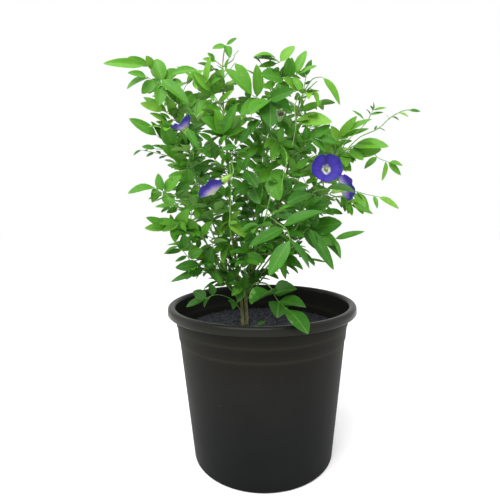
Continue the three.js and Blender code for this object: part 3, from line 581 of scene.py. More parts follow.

# %% [markdown]
# ## Leaves
# A leaf is a stalk with up to three pairs of leaflets and one at its end. The lists hold those that can be
# made out. Each leaflet is folded a little along its midrib, droops towards its tip and differs from its
# neighbours. It is modelled once, as a thin closed blade, and the tree sets it on every leaflet point and
# bends it there. The points carry what makes them differ: direction, upper side, size, fold, droop, twist
# and how old the leaf is, which also carries painted light and shade.

# %% Leaves by the stalk that they grow on
# These leaves are in the CAD model too. Each row is a name, the share of the stalk's length that the leaf
# grows at, the way that its upper side looks, the points that its own stalk passes, and its leaflets. The way
# is how far right and how far up it looks for one part forward. A leaflet is the share of the leaf's stalk
# that it sits at, the place of its tip, and its width as a share of its length.
LEAVES = {
    "vine_upper_left": [
        ("leaf_far_left", 0.97, (0, 0.6), [(-119, -78, 497), (-125, -84, 505), (-144, -92, 507)],
         [(0.6, -171, -98, 500, 0.2), (0.5, -151, -80, 515, 0.26), (0.42, -126, -96, 511, 0.5)]),
        ("leaf_left_upright", 0.9, (0, 0.3), [(-110, -66, 485), (-113, -70, 493)],
         [(1, -123, -64, 520, 0.5), (0.85, -93, -72, 505, 0.6)]),
        ("leaf_left_drooping", 0.93, (0, 0.5), [(-114, -84, 485), (-126, -96, 490)],
         [(1, -144, -104, 491, 0.32), (0.92, -147, -100, 477, 0.34), (0.7, -131, -94, 472, 0.5),
          (0.45, -112, -92, 460, 0.42)]),
        ("leaf_left_high", 0.78, (0, 0.5), [(-103, -72, 453), (-112, -78, 458)],
         [(1, -137, -84, 464, 0.32), (0.85, -135, -74, 475, 0.28), (0.5, -106, -80, 472, 0.4)]),
        ("leaf_left_lance", 0.68, (0, 0.5), [(-102, -62, 418), (-115, -70, 426), (-122, -74, 431)],
         [(1, -152, -80, 448, 0.28), (0.8, -126, -78, 447, 0.35), (0.45, -114, -86, 444, 0.4),
          (0.2, -86, -82, 436, 0.36)]),
    ],
    "vine_back_left": [
        ("leaf_back_left_top", 0.98, (0, 0.6), [(-107, 58, 529), (-95, 46, 533)],
         [(1, -115, 40, 551, 0.4), (0.75, -111, 28, 518, 0.65), (1, -73, 30, 510, 0.34),
          (0.6, -79, 50, 547, 0.4)]),
    ],
    "vine_left": [
        ("leaf_left_tip", 0.96, (0, 0.5), [(-117, -76, 367), (-123, -84, 370)],
         [(1, -152, -96, 365, 0.4), (0.9, -125, -92, 353, 0.44), (0.5, -124, -72, 387, 0.45),
          (0.4, -95, -76, 384, 0.5), (0.3, -104, -84, 348, 0.5)]),
    ],
    "vine_lower_left": [
        ("leaf_lower_left", 0.95, (0, 0.75), [(-108, -58, 322), (-115, -68, 325)],
         [(1, -136, -84, 334, 0.3), (0.9, -140, -74, 321, 0.3), (0.6, -104, -72, 306, 0.45),
          (0.5, -113, -58, 339, 0.3), (0.3, -87, -66, 343, 0.42)]),
    ],
    "vine_low_left": [
        ("leaf_low_left", 0.96, (0, 0.5), [(-95, -48, 286), (-100, -56, 295)],
         [(1, -120, -66, 291, 0.24), (0.9, -95, -60, 316, 0.42), (0.5, -108, -58, 280, 0.25),
          (0.4, -74, -56, 294, 0.42)]),
        ("leaf_low_left_under", 0.6, (0, 0.5), [(-73, -34, 269), (-80, -44, 275)],
         [(1, -107, -62, 272, 0.34), (0.6, -112, -64, 255, 0.15), (0.4, -52, -44, 248, 0.3),
          (0.5, -62, -46, 296, 0.42)]),
    ],
    "stem_left": [
        ("leaf_over_soil", 0.14, (0, 2), [(-38, -8, 217), (-51, -20, 228), (-64, -32, 232), (-75, -38, 228)],
         [(1, -98, -46, 220, 0.36), (0.97, -91, -36, 237, 0.6), (0.85, -68, -30, 247, 0.55),
          (0.9, -76, -44, 219, 0.5), (0.3, -39, -26, 211, 0.45)]),
        ("leaf_top_upright", 0.78, (0, 0.2), [(-52, -30, 477), (-61, -30, 488)],
         [(1, -46, -34, 518, 0.48), (0.95, -86, -40, 513, 0.27), (0.6, -33, -42, 491, 0.22),
          (0.4, -71, -46, 456, 0.42)]),
    ],
    "vine_top_middle": [
        ("leaf_top_arch", 0.82, (0, 0.6), [(2, -56, 474), (-10, -68, 477)],
         [(1, -41, -70, 506, 0.34), (0.8, -2, -76, 508, 0.3), (0.6, -21, -76, 452, 0.4)]),
        ("leaf_top_middle_left", 1, (0, 0.6), [(18, -48, 519), (24, -52, 520)],
         [(1, -7, -60, 522, 0.27), (0.7, -1, -56, 512, 0.27), (1, 41, -54, 537, 0.45)]),
        ("leaf_top_middle", 0.92, (0, 0.4), [(28, -56, 499), (44, -62, 502)],
         [(1, 65, -66, 511, 0.25), (0.95, 53, -58, 530, 0.32), (0.85, 49, -66, 477, 0.26),
          (0.5, 0, -80, 495, 0.42), (0.7, 36, -72, 517, 0.5)]),
        ("leaf_top_middle_front", 0.88, (0, 0.6), [(12, -60, 477), (10, -76, 469)],
         [(1, -14, -96, 449, 0.5), (1, 36, -94, 472, 0.42), (0.9, 10, -98, 434, 0.5),
          (0.8, 33, -80, 451, 0.42)]),
    ],
    "stem_right": [
        ("leaf_lone_hanging", 0.98, (1, 1), [(63, -54, 499), (69, -57, 500), (74, -60, 499)],
         [(1, 92, -62, 466, 0.24)]),
        ("leaf_upper_right", 0.86, (0, 0.5), [(50, -64, 467), (57, -70, 484)],
         [(1, 67, -76, 462, 0.34), (0.95, 53, -84, 467, 0.3), (0.4, 44, -78, 470, 0.3),
          (0.35, 73, -60, 468, 0.26), (0.1, 81, -76, 443, 0.34)]),
    ],
    "vine_right": [
        ("leaf_right_reach", 0.82, (0, 0.5), [(99, -10, 423), (98, -30, 436)],
         [(1, 135, -52, 451, 0.2), (0.97, 135, -42, 439, 0.15), (0.8, 72, -40, 443, 0.42),
          (0.6, 75, -24, 424, 0.4), (0.7, 116, -34, 428, 0.3)]),
        ("leaf_right_big", 0.86, (0, 0.6), [(113, -12, 417), (119, -26, 423)],
         [(1, 157, -50, 419, 0.33), (0.7, 108, -32, 397, 0.42), (0.9, 127, -40, 403, 0.4)]),
        ("leaf_right_star", 1, (0, 0.5), [(150, -8, 421), (156, -16, 410), (168, -24, 403)],
         [(1, 182, -32, 397, 0.36), (0.97, 180, -28, 385, 0.26), (0.9, 160, -26, 379, 0.26),
          (0.6, 136, -22, 396, 0.28)]),
    ],
    "vine_right_low": [
        ("leaf_right_low", 0.98, (0, 0.8), [(116, -54, 364), (129, -60, 360), (141, -66, 357)],
         [(1, 161, -76, 342, 0.26), (0.85, 138, -70, 343, 0.28), (0.15, 125, -68, 346, 0.3),
          (0.05, 97, -62, 348, 0.42), (0.3, 133, -58, 338, 0.3)]),
        ("leaf_right_front", 0.6, (0, 0.4), [(51, -62, 347), (60, -84, 363), (70, -100, 365)],
         [(1, 99, -116, 362, 0.36), (0.7, 26, -100, 352, 0.34), (0.4, 77, -84, 346, 0.4),
          (0.2, 34, -66, 333, 0.4)]),
    ],
    "vine_lower_right": [
        ("leaf_lower_right", 0.85, (0, 0.8), [(65, -40, 318), (80, -52, 312), (90, -58, 306)],
         [(1, 123, -70, 314, 0.2), (0.9, 97, -68, 283, 0.32), (0.3, 96, -66, 324, 0.44)]),
        ("leaf_hanging", 0.8, (0, 0.6), [(54, -46, 316), (58, -58, 320)],
         [(1, 82, -80, 271, 0.2), (0.8, 65, -70, 294, 0.34), (0.5, 70, -66, 337, 0.42)]),
    ],
    "vine_front": [
        ("leaf_over_rim", 0.97, (0, 2), [(13, -78, 242), (17, -94, 237), (25, -112, 232)],
         [(1, 44, -150, 216, 0.4), (0.2, -15, -96, 235, 0.9), (0.2, 40, -80, 247, 0.8),
          (0.6, 47, -104, 232, 0.66), (0.6, 14, -118, 224, 0.68)]),
    ],
    "vine_front_middle": [
        ("leaf_front", 0.8, (0, 0.8), [(15, -106, 329), (25, -118, 321), (28, -124, 310)],
         [(0.7, -16, -134, 305, 0.3), (1, 48, -134, 282, 0.3), (1, 4, -134, 275, 0.3),
          (0.65, 61, -128, 340, 0.31), (0.2, 39, -112, 330, 0.34)]),
    ],
}
# The leaf at the back of each of these stalks: name, share of the stalk, tip, leaflet length and pairs
BACK_LEAVES = {
    "vine_back_left": ("leaf_back_left", 0.66, (-144, 112, 464), 34, 3),
    "vine_back": ("leaf_back_top", 0.8, (56, 150, 520), 34, 3),
    "vine_back_right": ("leaf_back_right", 0.7, (150, 124, 440), 34, 3),
}
print("leaflets placed:", sum(len(row[-1]) for rows in LEAVES.values() for row in rows))

# %% One leaflet
LEAFLET_SLENDERNESS = 0.46
LEAFLET_DROOP = 0.16
# Stations along the blade: share of the length and share of the full width
LEAFLET_OUTLINE = [
    (0.03, 0.06), (0.09, 0.3), (0.18, 0.68), (0.32, 0.95), (0.48, 1.0), (0.66, 0.89), (0.83, 0.6),
    (0.95, 0.26),
]
BLADE_HALF_THICKNESS = 0.005
BLADE_COLUMNS = (-1, -0.5, 0, 0.5, 1)


def leaflet_mesh():
    """A closed blade one unit long and wide, X along it, upper side Z. blade holds its own coordinates."""
    points, blade, faces, under = [(0, 0, 0)], [(0, 0, 0)], [], []

    def vertex(along, width, column, side):
        across = column * width / 2
        points.append((along, across, side * BLADE_HALF_THICKNESS * (1 - abs(column)) * 2))
        blade.append((along, across, column))
        return len(points) - 1

    edges = [[vertex(along, width, column, 0) for column in (-1, 1)] for along, width in LEAFLET_OUTLINE]
    rows = {}
    for side in (1, -1):
        rows[side] = [
            [edge[0], *(vertex(along, width, column, side) for column in BLADE_COLUMNS[1:-1]), edge[1]]
            for (along, width), edge in zip(LEAFLET_OUTLINE, edges)
        ]
    points.append((1, 0, 0))
    blade.append((1, 0, 0))
    tip = len(points) - 1
    for side in (1, -1):
        for left in range(len(BLADE_COLUMNS) - 1):
            right = left + 1
            first, last = rows[side][0], rows[side][-1]
            quads = [(0, first[right], first[left])]
            for near, far in zip(rows[side], rows[side][1:]):
                quads.append((near[left], near[right], far[right], far[left]))
            quads.append((last[left], last[right], tip))
            # seen from above, a face that turns left points up
            faces += [face[:: -side] for face in quads]
            under += [float(side < 0)] * len(quads)
    mesh = bpy.data.meshes.new("blade")
    mesh.from_pydata(points, [], faces)
    carry(mesh, "blade", "FLOAT_VECTOR", "POINT", blade)
    carry(mesh, "underside", "FLOAT", "FACE", under)
    form = bmesh.new()
    form.from_mesh(mesh)
    bmesh.ops.recalc_face_normals(form, faces=form.faces)
    return mesh_from(form, "leaflet", 60)


leaflet = object_of("leaflet", leaflet_mesh())
print("leaflet:", triangles(leaflet), "triangles")


# %% The tree that sweeps stalks
def make_sweep_tree():
    """Sweeps a circle along the edges of a mesh, with the radius that its points carry."""
    inputs = {"Sides": 8, "Relief": 0.08, "Relief length": 6 * MM, "Finish": "Material"}
    tree, given = new_geometry_tree("swept_stalk", inputs)
    radius = add(tree, "GeometryNodeInputNamedAttribute", {"Name": "radius"}, data_type="FLOAT")
    place = add(tree, "GeometryNodeInputPosition")
    pitch = add(tree, MATH, [1.0, given["Relief length"]], operation="DIVIDE")
    bumps = add(tree, NOISE, {"Vector": place, "Scale": pitch, "Detail": 1})
    centred = add(tree, MATH, [bumps, 0.5], operation="SUBTRACT")
    swell = add(tree, MATH, [centred, given["Relief"], 1.0], operation="MULTIPLY_ADD")
    girth = add(tree, MATH, [radius, swell], operation="MULTIPLY")
    line = add(tree, "GeometryNodeMeshToCurve", {"Mesh": given["Geometry"]})
    ring = add(tree, "GeometryNodeCurvePrimitiveCircle", {"Resolution": given["Sides"], "Radius": 1.0})
    sweep = {"Curve": line, "Profile Curve": ring, "Scale": girth, "Fill Caps": True}
    smooth = add(tree, "GeometryNodeSetShadeSmooth", [add(tree, "GeometryNodeCurveToMesh", sweep)])
    real = add(tree, "GeometryNodeRealizeInstances", [smooth])
    tint = add(tree, "GeometryNodeSetMaterial", {"Geometry": real, "Material": given["Finish"]})
    add(tree, "NodeGroupOutput", [tint])
    return tree


sweep_tree = make_sweep_tree()
print(sweep_tree.name, "tree:", len(sweep_tree.nodes), "nodes")

# %% The tree that sets leaflets and bends them
# How fast the waves along a blade's edge follow each other, and how far its twist shifts them
EDGE_WAVES = 9.0
EDGE_SHIFT = 20.0


def make_leaf_tree(sweep_tree):
    """Sweeps the stalks of leaves, and sets a leaflet on each of their leaflet points and bends it there."""
    inputs = {"Leaflet": "Object", "Fold": 0.25, "Droop": LEAFLET_DROOP, "Wave": 0.05, "Stalk sides": 6}
    inputs |= {"Blade finish": "Material", "Stalk finish": "Material"}
    tree, given = new_geometry_tree("pinnate_leaf", inputs)
    stalks = add(tree, "GeometryNodeGroup", node_tree=sweep_tree)
    for socket, source in {"Geometry": "Geometry", "Sides": "Stalk sides", "Finish": "Stalk finish"}.items():
        tree.links.new(given[source], stalks.inputs[socket])
    # what the leaflet points carry
    kinds = dict.fromkeys(["size", "width", "fold", "droop", "twist"], "FLOAT")
    kinds |= dict.fromkeys(["along", "upper", "blade"], "FLOAT_VECTOR")
    kinds["is_leaflet"] = "BOOLEAN"
    carried = {}
    for name, kind in kinds.items():
        carried[name] = add(tree, "GeometryNodeInputNamedAttribute", {"Name": name}, data_type=kind)
    size, width, twist = carried["size"], carried["width"], carried["twist"]

    # set the leaflets
    breadth = add(tree, MATH, [size, width], operation="MULTIPLY")
    axes = {"Primary Axis": carried["along"], "Secondary Axis": carried["upper"]}
    turn = add(tree, "FunctionNodeAxesToRotation", axes, primary_axis="X", secondary_axis="Z")
    blade_object = add(tree, "GeometryNodeObjectInfo", {"Object": given["Leaflet"]}).outputs["Geometry"]
    scale = add(tree, "ShaderNodeCombineXYZ", {"X": size, "Y": breadth, "Z": size})
    setting = {"Points": given["Geometry"], "Selection": carried["is_leaflet"], "Instance": blade_object}
    blades = add(tree, "GeometryNodeInstanceOnPoints", {**setting, "Rotation": turn, "Scale": scale})
    real = add(tree, "GeometryNodeRealizeInstances", [blades])

    # bend them: raised off the rib by the fold, lowered towards the tip, twisted, and waved along the edge
    blade = add(tree, "ShaderNodeSeparateXYZ", [carried["blade"]]).outputs
    sideways = add(tree, MATH, [blade["Y"], width], operation="MULTIPLY")
    off_rib = add(tree, MATH, [sideways], operation="ABSOLUTE")
    fold = add(tree, MATH, [given["Fold"], carried["fold"]], operation="MULTIPLY")
    raised = add(tree, MATH, [off_rib, fold], operation="MULTIPLY")
    squared = add(tree, MATH, [blade["X"], 2.0], operation="POWER")
    droop = add(tree, MATH, [given["Droop"], carried["droop"]], operation="MULTIPLY")
    lowered = add(tree, MATH, [squared, droop], operation="MULTIPLY")
    lever = add(tree, MATH, [blade["X"], sideways], operation="MULTIPLY")
    twisted = add(tree, MATH, [lever, twist], operation="MULTIPLY")
    phase = add(tree, MATH, [twist, EDGE_SHIFT], operation="MULTIPLY")
    angle = add(tree, MATH, [blade["X"], EDGE_WAVES, phase], operation="MULTIPLY_ADD")
    wave = add(tree, MATH, [angle], operation="SINE")
    edge_wave = add(tree, MATH, [wave, off_rib], operation="MULTIPLY")
    waved = add(tree, MATH, [edge_wave, given["Wave"]], operation="MULTIPLY")
    lift = add(tree, MATH, [raised, lowered], operation="SUBTRACT")
    for part, operation in ((twisted, "ADD"), (waved, "ADD"), (size, "MULTIPLY")):
        lift = add(tree, MATH, [lift, part], operation=operation)
    offset = add(tree, "ShaderNodeVectorMath", {0: carried["upper"], "Scale": lift}, operation="SCALE")
    bent = add(tree, "GeometryNodeSetPosition", {"Geometry": real, "Offset": offset})
    tint = add(tree, "GeometryNodeSetMaterial", {"Geometry": bent, "Material": given["Blade finish"]})
    both = add(tree, "GeometryNodeJoinGeometry", [stalks])
    tree.links.new(tint.outputs[0], both.inputs[0])
    add(tree, "NodeGroupOutput", [both])
    return tree


leaf_tree = make_leaf_tree(sweep_tree)
print(leaf_tree.name, "tree:", len(leaf_tree.nodes), "nodes")


# %% Points and edges for the trees
def carrier_mesh(name, lines, blades=()):
    """A mesh of poly-lines and leaflet points. A line is (points in mm, radii in mm), and a blade a dict."""
    points, edges, radius = [], [], []
    for line, radii in lines:
        start = len(points)
        points += [Vector(p) * MM for p in line]
        radius += [r * MM for r in radii]
        edges += [(start + i, start + i + 1) for i in range(len(line) - 1)]
    stalk_count = len(points)
    points += [blade["place"] * MM for blade in blades]
    mesh = bpy.data.meshes.new(name)
    mesh.from_pydata(points, edges, [])
    carry(mesh, "radius", "FLOAT", "POINT", radius + [0.0] * len(blades))
    if blades:
        carry(mesh, "is_leaflet", "BOOLEAN", "POINT", [False] * stalk_count + [True] * len(blades))
        for key in ("along", "upper"):
            values = [(1, 0, 0)] * stalk_count + [tuple(blade[key]) for blade in blades]
            carry(mesh, key, "FLOAT_VECTOR", "POINT", values)
        for key in ("size", "width", "fold", "droop", "twist", "youth_and_light", "shade"):
            scale = MM if key == "size" else 1
            carry(mesh, key, "FLOAT", "POINT", [0.0] * stalk_count + [blade[key] * scale for blade in blades])
    return mesh


# %% What makes leaflets differ
# Lowest and highest share, or how far either way
FOLDS = (0.5, 2.5)
DROOPS = (0.4, 1.6)
TWISTS = (-0.5, 0.5)
SHADES = (-0.5, 0.5)
TILTS = (-0.7, 0.7)
# How young a leaf is where the stems leave the mix, what it gains up the plant, and what luck adds. The gain
# up the plant also paints light and shade: lower leaves, in more shade, are darker.
FOOT_YOUTH, YOUTH_AND_LIGHT_GAIN, LUCKY_YOUTH = 0.17, 0.32, 0.25
FOOT_HEIGHT, PLANT_RISE = 220, 300
# Leaves in the photo that are plainly darker (below 0) or paler than their height says: partly older or
# younger, partly painted shade and light on leaves that get less or more light. A leaf in front, which has
# no name of its own, goes by its stalk and its share.
AGE_AND_LIGHT_CHANGES = {
    "leaf_top_middle_front": -0.35, "leaf_right_front": -0.35, "leaf_front": -0.2, "leaf_top_upright": 0.35,
    "leaf_right_reach": 0.25, "leaf_upper_right": 0.2, "leaf_lower_left": 0.2, "leaf_left_tip": 0.2,
    "leaf_over_rim": -0.25, "stem_left 0.64": -0.4, "stem_left 0.58": -0.3, "stem_left 0.82": 0.4,
    "stem_left 0.45": 0.2, "stem_left 0.8": 0.15, "stem_right 0.45": -0.25, "stem_right 0.68": -0.2,
    "stem_right 0.74": 0.2, "vine_right_low 0.6": -0.35, "vine_right_low 0.97": 0.2,
    "vine_right_low 0.9": 0.2, "vine_upper_left 0.6": -0.35, "vine_upper_left 0.71": -0.2,
    "vine_top_middle 1": 0.3, "vine_top_middle 0.92": 0.25, "vine_top_middle 0.97": 0.25,
    "vine_lower_left 0.5": 0.3, "vine_right 0.87": 0.3, "vine_right 0.8": 0.3, "vine_right 0.6": 0.25,
    "vine_back_left 0.6": 0.25, "vine_left 0.8": 0.2,
}


def youth_and_light_at(height, luck):
    """How young a leaf is, from 0 to 1: the higher that it grows on the plant, the younger; this also paints
    shade on lower leaves.
    """
    risen = min(1, max(0, (height - FOOT_HEIGHT) / PLANT_RISE))
    return FOOT_YOUTH + YOUTH_AND_LIGHT_GAIN * risen + luck.uniform(0, LUCKY_YOUTH)


def leaning(side, along):
    """A side's direction made square to another one."""
    along = along.normalized()
    return (side - along * side.dot(along)).normalized()


def leaflet_point(place, along, upper, size, width, luck, youth_and_light, shade, sway=0.0):
    """One leaflet's place and what makes it differ from its neighbours."""
    across = upper.cross(along).normalized()
    turned_way = along.normalized() + across * luck.uniform(-sway, sway) + upper * luck.uniform(-sway, sway)
    facing = upper + across * luck.uniform(*TILTS)
    return {
        "place": place,
        "along": turned_way.normalized(),
        "upper": leaning(facing, along),
        "size": size,
        "width": width,
        "fold": luck.uniform(*FOLDS),
        "droop": luck.uniform(*DROOPS) if sway else 1.0,
        "twist": luck.uniform(*TWISTS),
        "youth_and_light": youth_and_light,
        "shade": shade + luck.uniform(*SHADES),
    }


print("leaves with an age of their own:", len(AGE_AND_LIGHT_CHANGES))

# %% Laying out a leaf
STALK_RADIUS = 0.65
STALK_END_RADIUS = 0.4
STALK_ARCH = 0.08
STALK_STEPS = 8
BARE_STALK = 0.45
LAST_PAIR = 0.92
LEAFLET_SPREAD = math.radians(62)
PAIR_SIZE = 0.84
PAIR_SIZES = (0.92, 1.06)
WIDTHS = (0.85, 1.15)
SWAY = 0.14
# The widths in the lists are those of folded, tilted leaflets, and a blade laid flat is this much wider
BLADE_GAIN = 1.25


def placed_leaf(name, stalk, at, looks, points, leaflets):
    """The stalk line and leaflet points of a leaf whose leaflets each have a place of their own, in mm."""
    luck = random.Random(name)
    base, _ = point_along(courses[stalk], at)
    youth_and_light = youth_and_light_at(base.z, luck) + AGE_AND_LIGHT_CHANGES.get(name, 0)
    course = smooth_course([base, *points], 5)
    radii = np.linspace(STALK_RADIUS, STALK_END_RADIUS, len(course))
    shade = luck.uniform(*SHADES)
    right, up = looks
    blades = []
    for share, x, y, z, width in leaflets:
        place, _ = point_along(course, share)
        straight = Vector((x, y, z)) - place
        upper = leaning(Vector((right, -1, up)), straight)
        along = straight + upper * LEAFLET_DROOP * straight.length
        width *= BLADE_GAIN
        blades.append(leaflet_point(place, along, upper, along.length, width, luck, youth_and_light, shade))
    return (course, radii), blades


def ruled_leaf(base, tip, upper, size, pairs, luck, youth_and_light):
    """The stalk line and leaflet points of one leaf from base to tip, in mm, by the rule of equal pairs."""
    along = (tip - base).normalized()
    upper = leaning(upper, along)
    across = upper.cross(along)
    end = tip - along * size + upper * LEAFLET_DROOP * size
    middle = (base + end) / 2 + upper * STALK_ARCH * (tip - base).length
    shares = [step / STALK_STEPS for step in range(STALK_STEPS + 1)]
    radii = [STALK_RADIUS + (STALK_END_RADIUS - STALK_RADIUS) * s for s in shares]
    shade = luck.uniform(*SHADES)

    def blade(place, direction, length):
        width = LEAFLET_SLENDERNESS * luck.uniform(*WIDTHS)
        return leaflet_point(place, direction, upper, length, width, luck, youth_and_light, shade, SWAY)

    blades = [blade(end, along, size)]
    for pair in range(pairs):
        share = pair / max(1, pairs - 1)
        place = bow(base, middle, end, BARE_STALK + (LAST_PAIR - BARE_STALK) * share)
        for side in (-1, 1):
            direction = along * math.cos(LEAFLET_SPREAD) + across * side * math.sin(LEAFLET_SPREAD)
            blades.append(blade(place, direction, PAIR_SIZE * size * luck.uniform(*PAIR_SIZES)))
    return ([bow(base, middle, end, s) for s in shares], radii), blades


# %% [markdown]
# Leaf green comes from a thin blade that reflects some light and lets some through, so the shader mixes a
# satin surface with a translucent one. Young leaves are yellower, and the same value paints light and shade:
# lower leaves and those that get less light are darker. The midrib and side veins are paler, and the
# underside is greyer and duller than the top.


# %% Leaf finish
VEIN_BEAT = 50.0
VEIN_SLANT = -0.5
SHADE_SHARE = 0.28
MOTTLE_SHARE = 0.25
LIGHT_THROUGH_LEAF = 0.3


def make_leaf_finish():
    """A thin soft leaf blade."""
    made, tree = new_material("butterfly_pea_leaf_blade")
    place = add(tree, "ShaderNodeTexCoord").outputs["Object"]
    own_place = add(tree, "ShaderNodeAttribute", attribute_name="blade").outputs["Vector"]
    blade = add(tree, "ShaderNodeSeparateXYZ", [own_place]).outputs
    youth_and_light, shade, under = (
        add(tree, "ShaderNodeAttribute", attribute_name=name).outputs["Fac"]
        for name in ("youth_and_light", "shade", "underside")
    )
    mottle = add(tree, NOISE, {"Vector": place, "Scale": per_metre(6), "Detail": 3})
    # how old a leaf is picks its green, and this value also carries painted light and shade
    age_and_light = add(tree, MATH, [shade, SHADE_SHARE, youth_and_light], operation="MULTIPLY_ADD")
    age_and_light = add(tree, MATH, [mottle, MOTTLE_SHARE, age_and_light], operation="MULTIPLY_ADD")
    top = add(tree, RAMP, [age_and_light], [(0.15, "23560e"), (0.45, "3c8018"), (0.75, "5da024"), (1.0, "82ba3a")])
    below = add(tree, RAMP, [age_and_light], [(0.15, "4e7e37"), (0.5, "679a44"), (1.0, "7ca651")])
    face = add(tree, MIX, {"Factor": under, "A": top, "B": below}, data_type="RGBA")
    off_rib = add(tree, MATH, [blade["Y"]], operation="ABSOLUTE")
    near_rib = {"Value": off_rib, "From Min": 0.01, "From Max": 0.05, "To Min": 0.22, "To Max": 0.0}
    slant = add(tree, MATH, [off_rib, VEIN_SLANT, blade["X"]], operation="MULTIPLY_ADD")
    beat = add(tree, MATH, [slant, VEIN_BEAT], operation="MULTIPLY")
    wave = add(tree, MATH, [beat], operation="SINE")
    on_vein = {"Value": wave, "From Min": 0.75, "From Max": 1.0, "To Min": 0.0, "To Max": 0.08}
    rib, veins = (add(tree, MAP_RANGE, values) for values in (near_rib, on_vein))
    lines = add(tree, MATH, [rib, veins], operation="MAXIMUM")
    veined = add(tree, MIX, {"Factor": lines, "A": face, "B": linear("8fb868")}, data_type="RGBA")
    relief = add(tree, BUMP, {"Strength": 0.35, "Distance": 0.4 * MM, "Height": lines}, invert=True)
    gloss = add(tree, MAP_RANGE, {"Value": under, "To Min": 0.5, "To Max": 0.7})
    looks = {"Base Color": veined, "Roughness": gloss, "Specular IOR Level": 0.3, "Normal": relief}
    glow_colour = add(tree, MIX, {"Factor": 0.5, "A": veined, "B": linear("86bf2e")}, data_type="RGBA")
    glow = add(tree, "ShaderNodeBsdfTranslucent", {"Color": glow_colour})
    skin = add(tree, PRINCIPLED, looks)
    both = add(tree, "ShaderNodeMixShader", [LIGHT_THROUGH_LEAF, skin, glow])
    add(tree, "ShaderNodeOutputMaterial", {"Surface": both})
    return made


leaf_finish = make_leaf_finish()
print(leaf_finish.name, "finish:", len(leaf_finish.node_tree.nodes), "nodes")

# %% Stalk finishes
BARK_COLOURS = [(0.3, "4c4a2b"), (0.5, "75744a"), (0.7, "979568")]
VINE_COLOURS = [(0.3, "41722a"), (0.5, "62933c"), (0.75, "8bb45a")]


def make_vine_finish(name, stops, roughness):
    """A stalk's skin: streaks along it, a few millimetres long, in the colours given."""
    made, tree = new_material(name)
    place = add(tree, "ShaderNodeTexCoord").outputs["Object"]
    long = add(tree, "ShaderNodeMapping", {"Vector": place, "Scale": (1, 1, 0.35)})
    streak = add(tree, NOISE, {"Vector": long, "Scale": per_metre(2.5), "Detail": 4, "Roughness": 0.65})
    colour = add(tree, RAMP, [streak], stops)
    skin = add(tree, BUMP, {"Strength": 0.5, "Distance": 0.3 * MM, "Height": streak})
    looks = {"Base Color": colour, "Roughness": roughness, "Specular IOR Level": 0.35, "Normal": skin}
    add(tree, "ShaderNodeOutputMaterial", {"Surface": add(tree, PRINCIPLED, looks)})
    return made


bark_finish = make_vine_finish("brown_green_bark", BARK_COLOURS, 0.75)
vine_finish = make_vine_finish("soft_green_vine_skin", VINE_COLOURS, 0.6)
print("stalk finishes:", bark_finish.name, vine_finish.name)

# %% Stems and vines
STEM_RADIUS = 2.7
VINE_RADIUS = 1.2
TWIG_RADIUS = 0.75
SHOOT_RADIUS = 0.6
for name, course in courses.items():
    slot, start, finish = "vine", VINE_RADIUS, vine_finish
    if name in STEMS:
        slot, start, finish = "stem", STEM_RADIUS, bark_finish
    elif name == "twig_right":
        start = TWIG_RADIUS
    radii = start + (min(start, SHOOT_RADIUS) - start) * np.linspace(0, 1, len(course))
    values = {"Sides": 10, "Relief": 0.5, "Finish": finish}
    finished(grown("fine_" + name, carrier_mesh(name, [(course, radii)]), sweep_tree, values), [name])
print("stalks:", len(courses))

# %% Leaves of the CAD model, in finer form
LEAF_VALUES = {"Leaflet": leaflet, "Blade finish": leaf_finish, "Stalk finish": vine_finish}
leaves = {name: placed_leaf(name, stalk, *row) for stalk, rows in LEAVES.items() for name, *row in rows}
for stalk, (name, at, tip, size, pairs) in BACK_LEAVES.items():
    luck = random.Random(name)
    base, _ = point_along(courses[stalk], at)
    leaves[name] = ruled_leaf(base, Vector(tip), Vector((0, 1, 2)), size, pairs, luck, youth_and_light_at(base.z, luck))
leaf_triangles = 0
for name, (line, blades) in leaves.items():
    piece = grown("fine_" + name, carrier_mesh(name, [line], blades), leaf_tree, LEAF_VALUES)
    leaf_triangles += triangles(piece)
    finished(piece, [name])
print("leaves in the CAD model:", len(leaves), "with", leaf_triangles, "triangles")

# %% [markdown]
# ## Thin shoots
# Young shoots and tendrils are wiry. Some only stand out at the plant's edge, and others carry leaves of the
# lists below. One has small leaflets set along it in turn, left and right, so the leaf tree makes it.

# %% Shoots and tendrils
# Each starts on a stalk at a share of its length: (stalk, share, route points, leaflet length, spacing)
SHOOTS = {
    "shoot_left": ("vine_upper_left", 0.58, [(-87, -56, 395), (-94, -58, 401), (-108, -60, 408),
        (-126, -62, 413), (-145, -62, 417)], 12, 8),
    "shoot_right_upper": ("vine_right", 0.86, [(115, 0, 430), (125, -20, 442), (134, -34, 451),
        (139, -38, 461), (141, -40, 467)], 0, 0),
    "shoot_right_inner": ("vine_right", 0.7, [(102, -50, 423), (115, -52, 434), (129, -52, 447)], 0, 0),
    "shoot_middle": ("stem_left", 0.34, [(-26, 14, 340), (-18, 30, 395), (-14, 36, 450),
        (-8, 32, 500)], 0, 0),
    "shoot_middle_left": ("vine_back_left", 0.36, [(-74, 18, 360), (-80, 6, 415), (-84, 0, 460),
        (-84, -4, 490)], 0, 0),
    "shoot_middle_right": ("vine_back_right", 0.36, [(52, 26, 365), (60, 16, 420), (64, 12, 465),
        (64, 10, 485)], 0, 0),
    "tendril_top": ("stem_left", 0.94, [(-34, -18, 536), (-31, -15, 544), (-26, -15, 549)], 0, 0),
    "shoot_front_right": ("stem_right", 0.92, [(44, -74, 474), (38, -80, 459), (39, -86, 442), (37, -90, 428),
        (34, -92, 414)], 0, 0),
    "shoot_front_middle": ("vine_top_middle", 0.5, [(20, -60, 420), (28, -92, 402), (23, -94, 378),
        (21, -96, 365)], 0, 0),
    "shoot_front": ("stem_left", 0.32, [(-39, -72, 327), (-37, -80, 355), (-36, -84, 376),
        (-37, -86, 395)], 0, 0),
}
SHOOT_RADII = (0.7, 0.35)
LEAFY_SHARE = 0.75
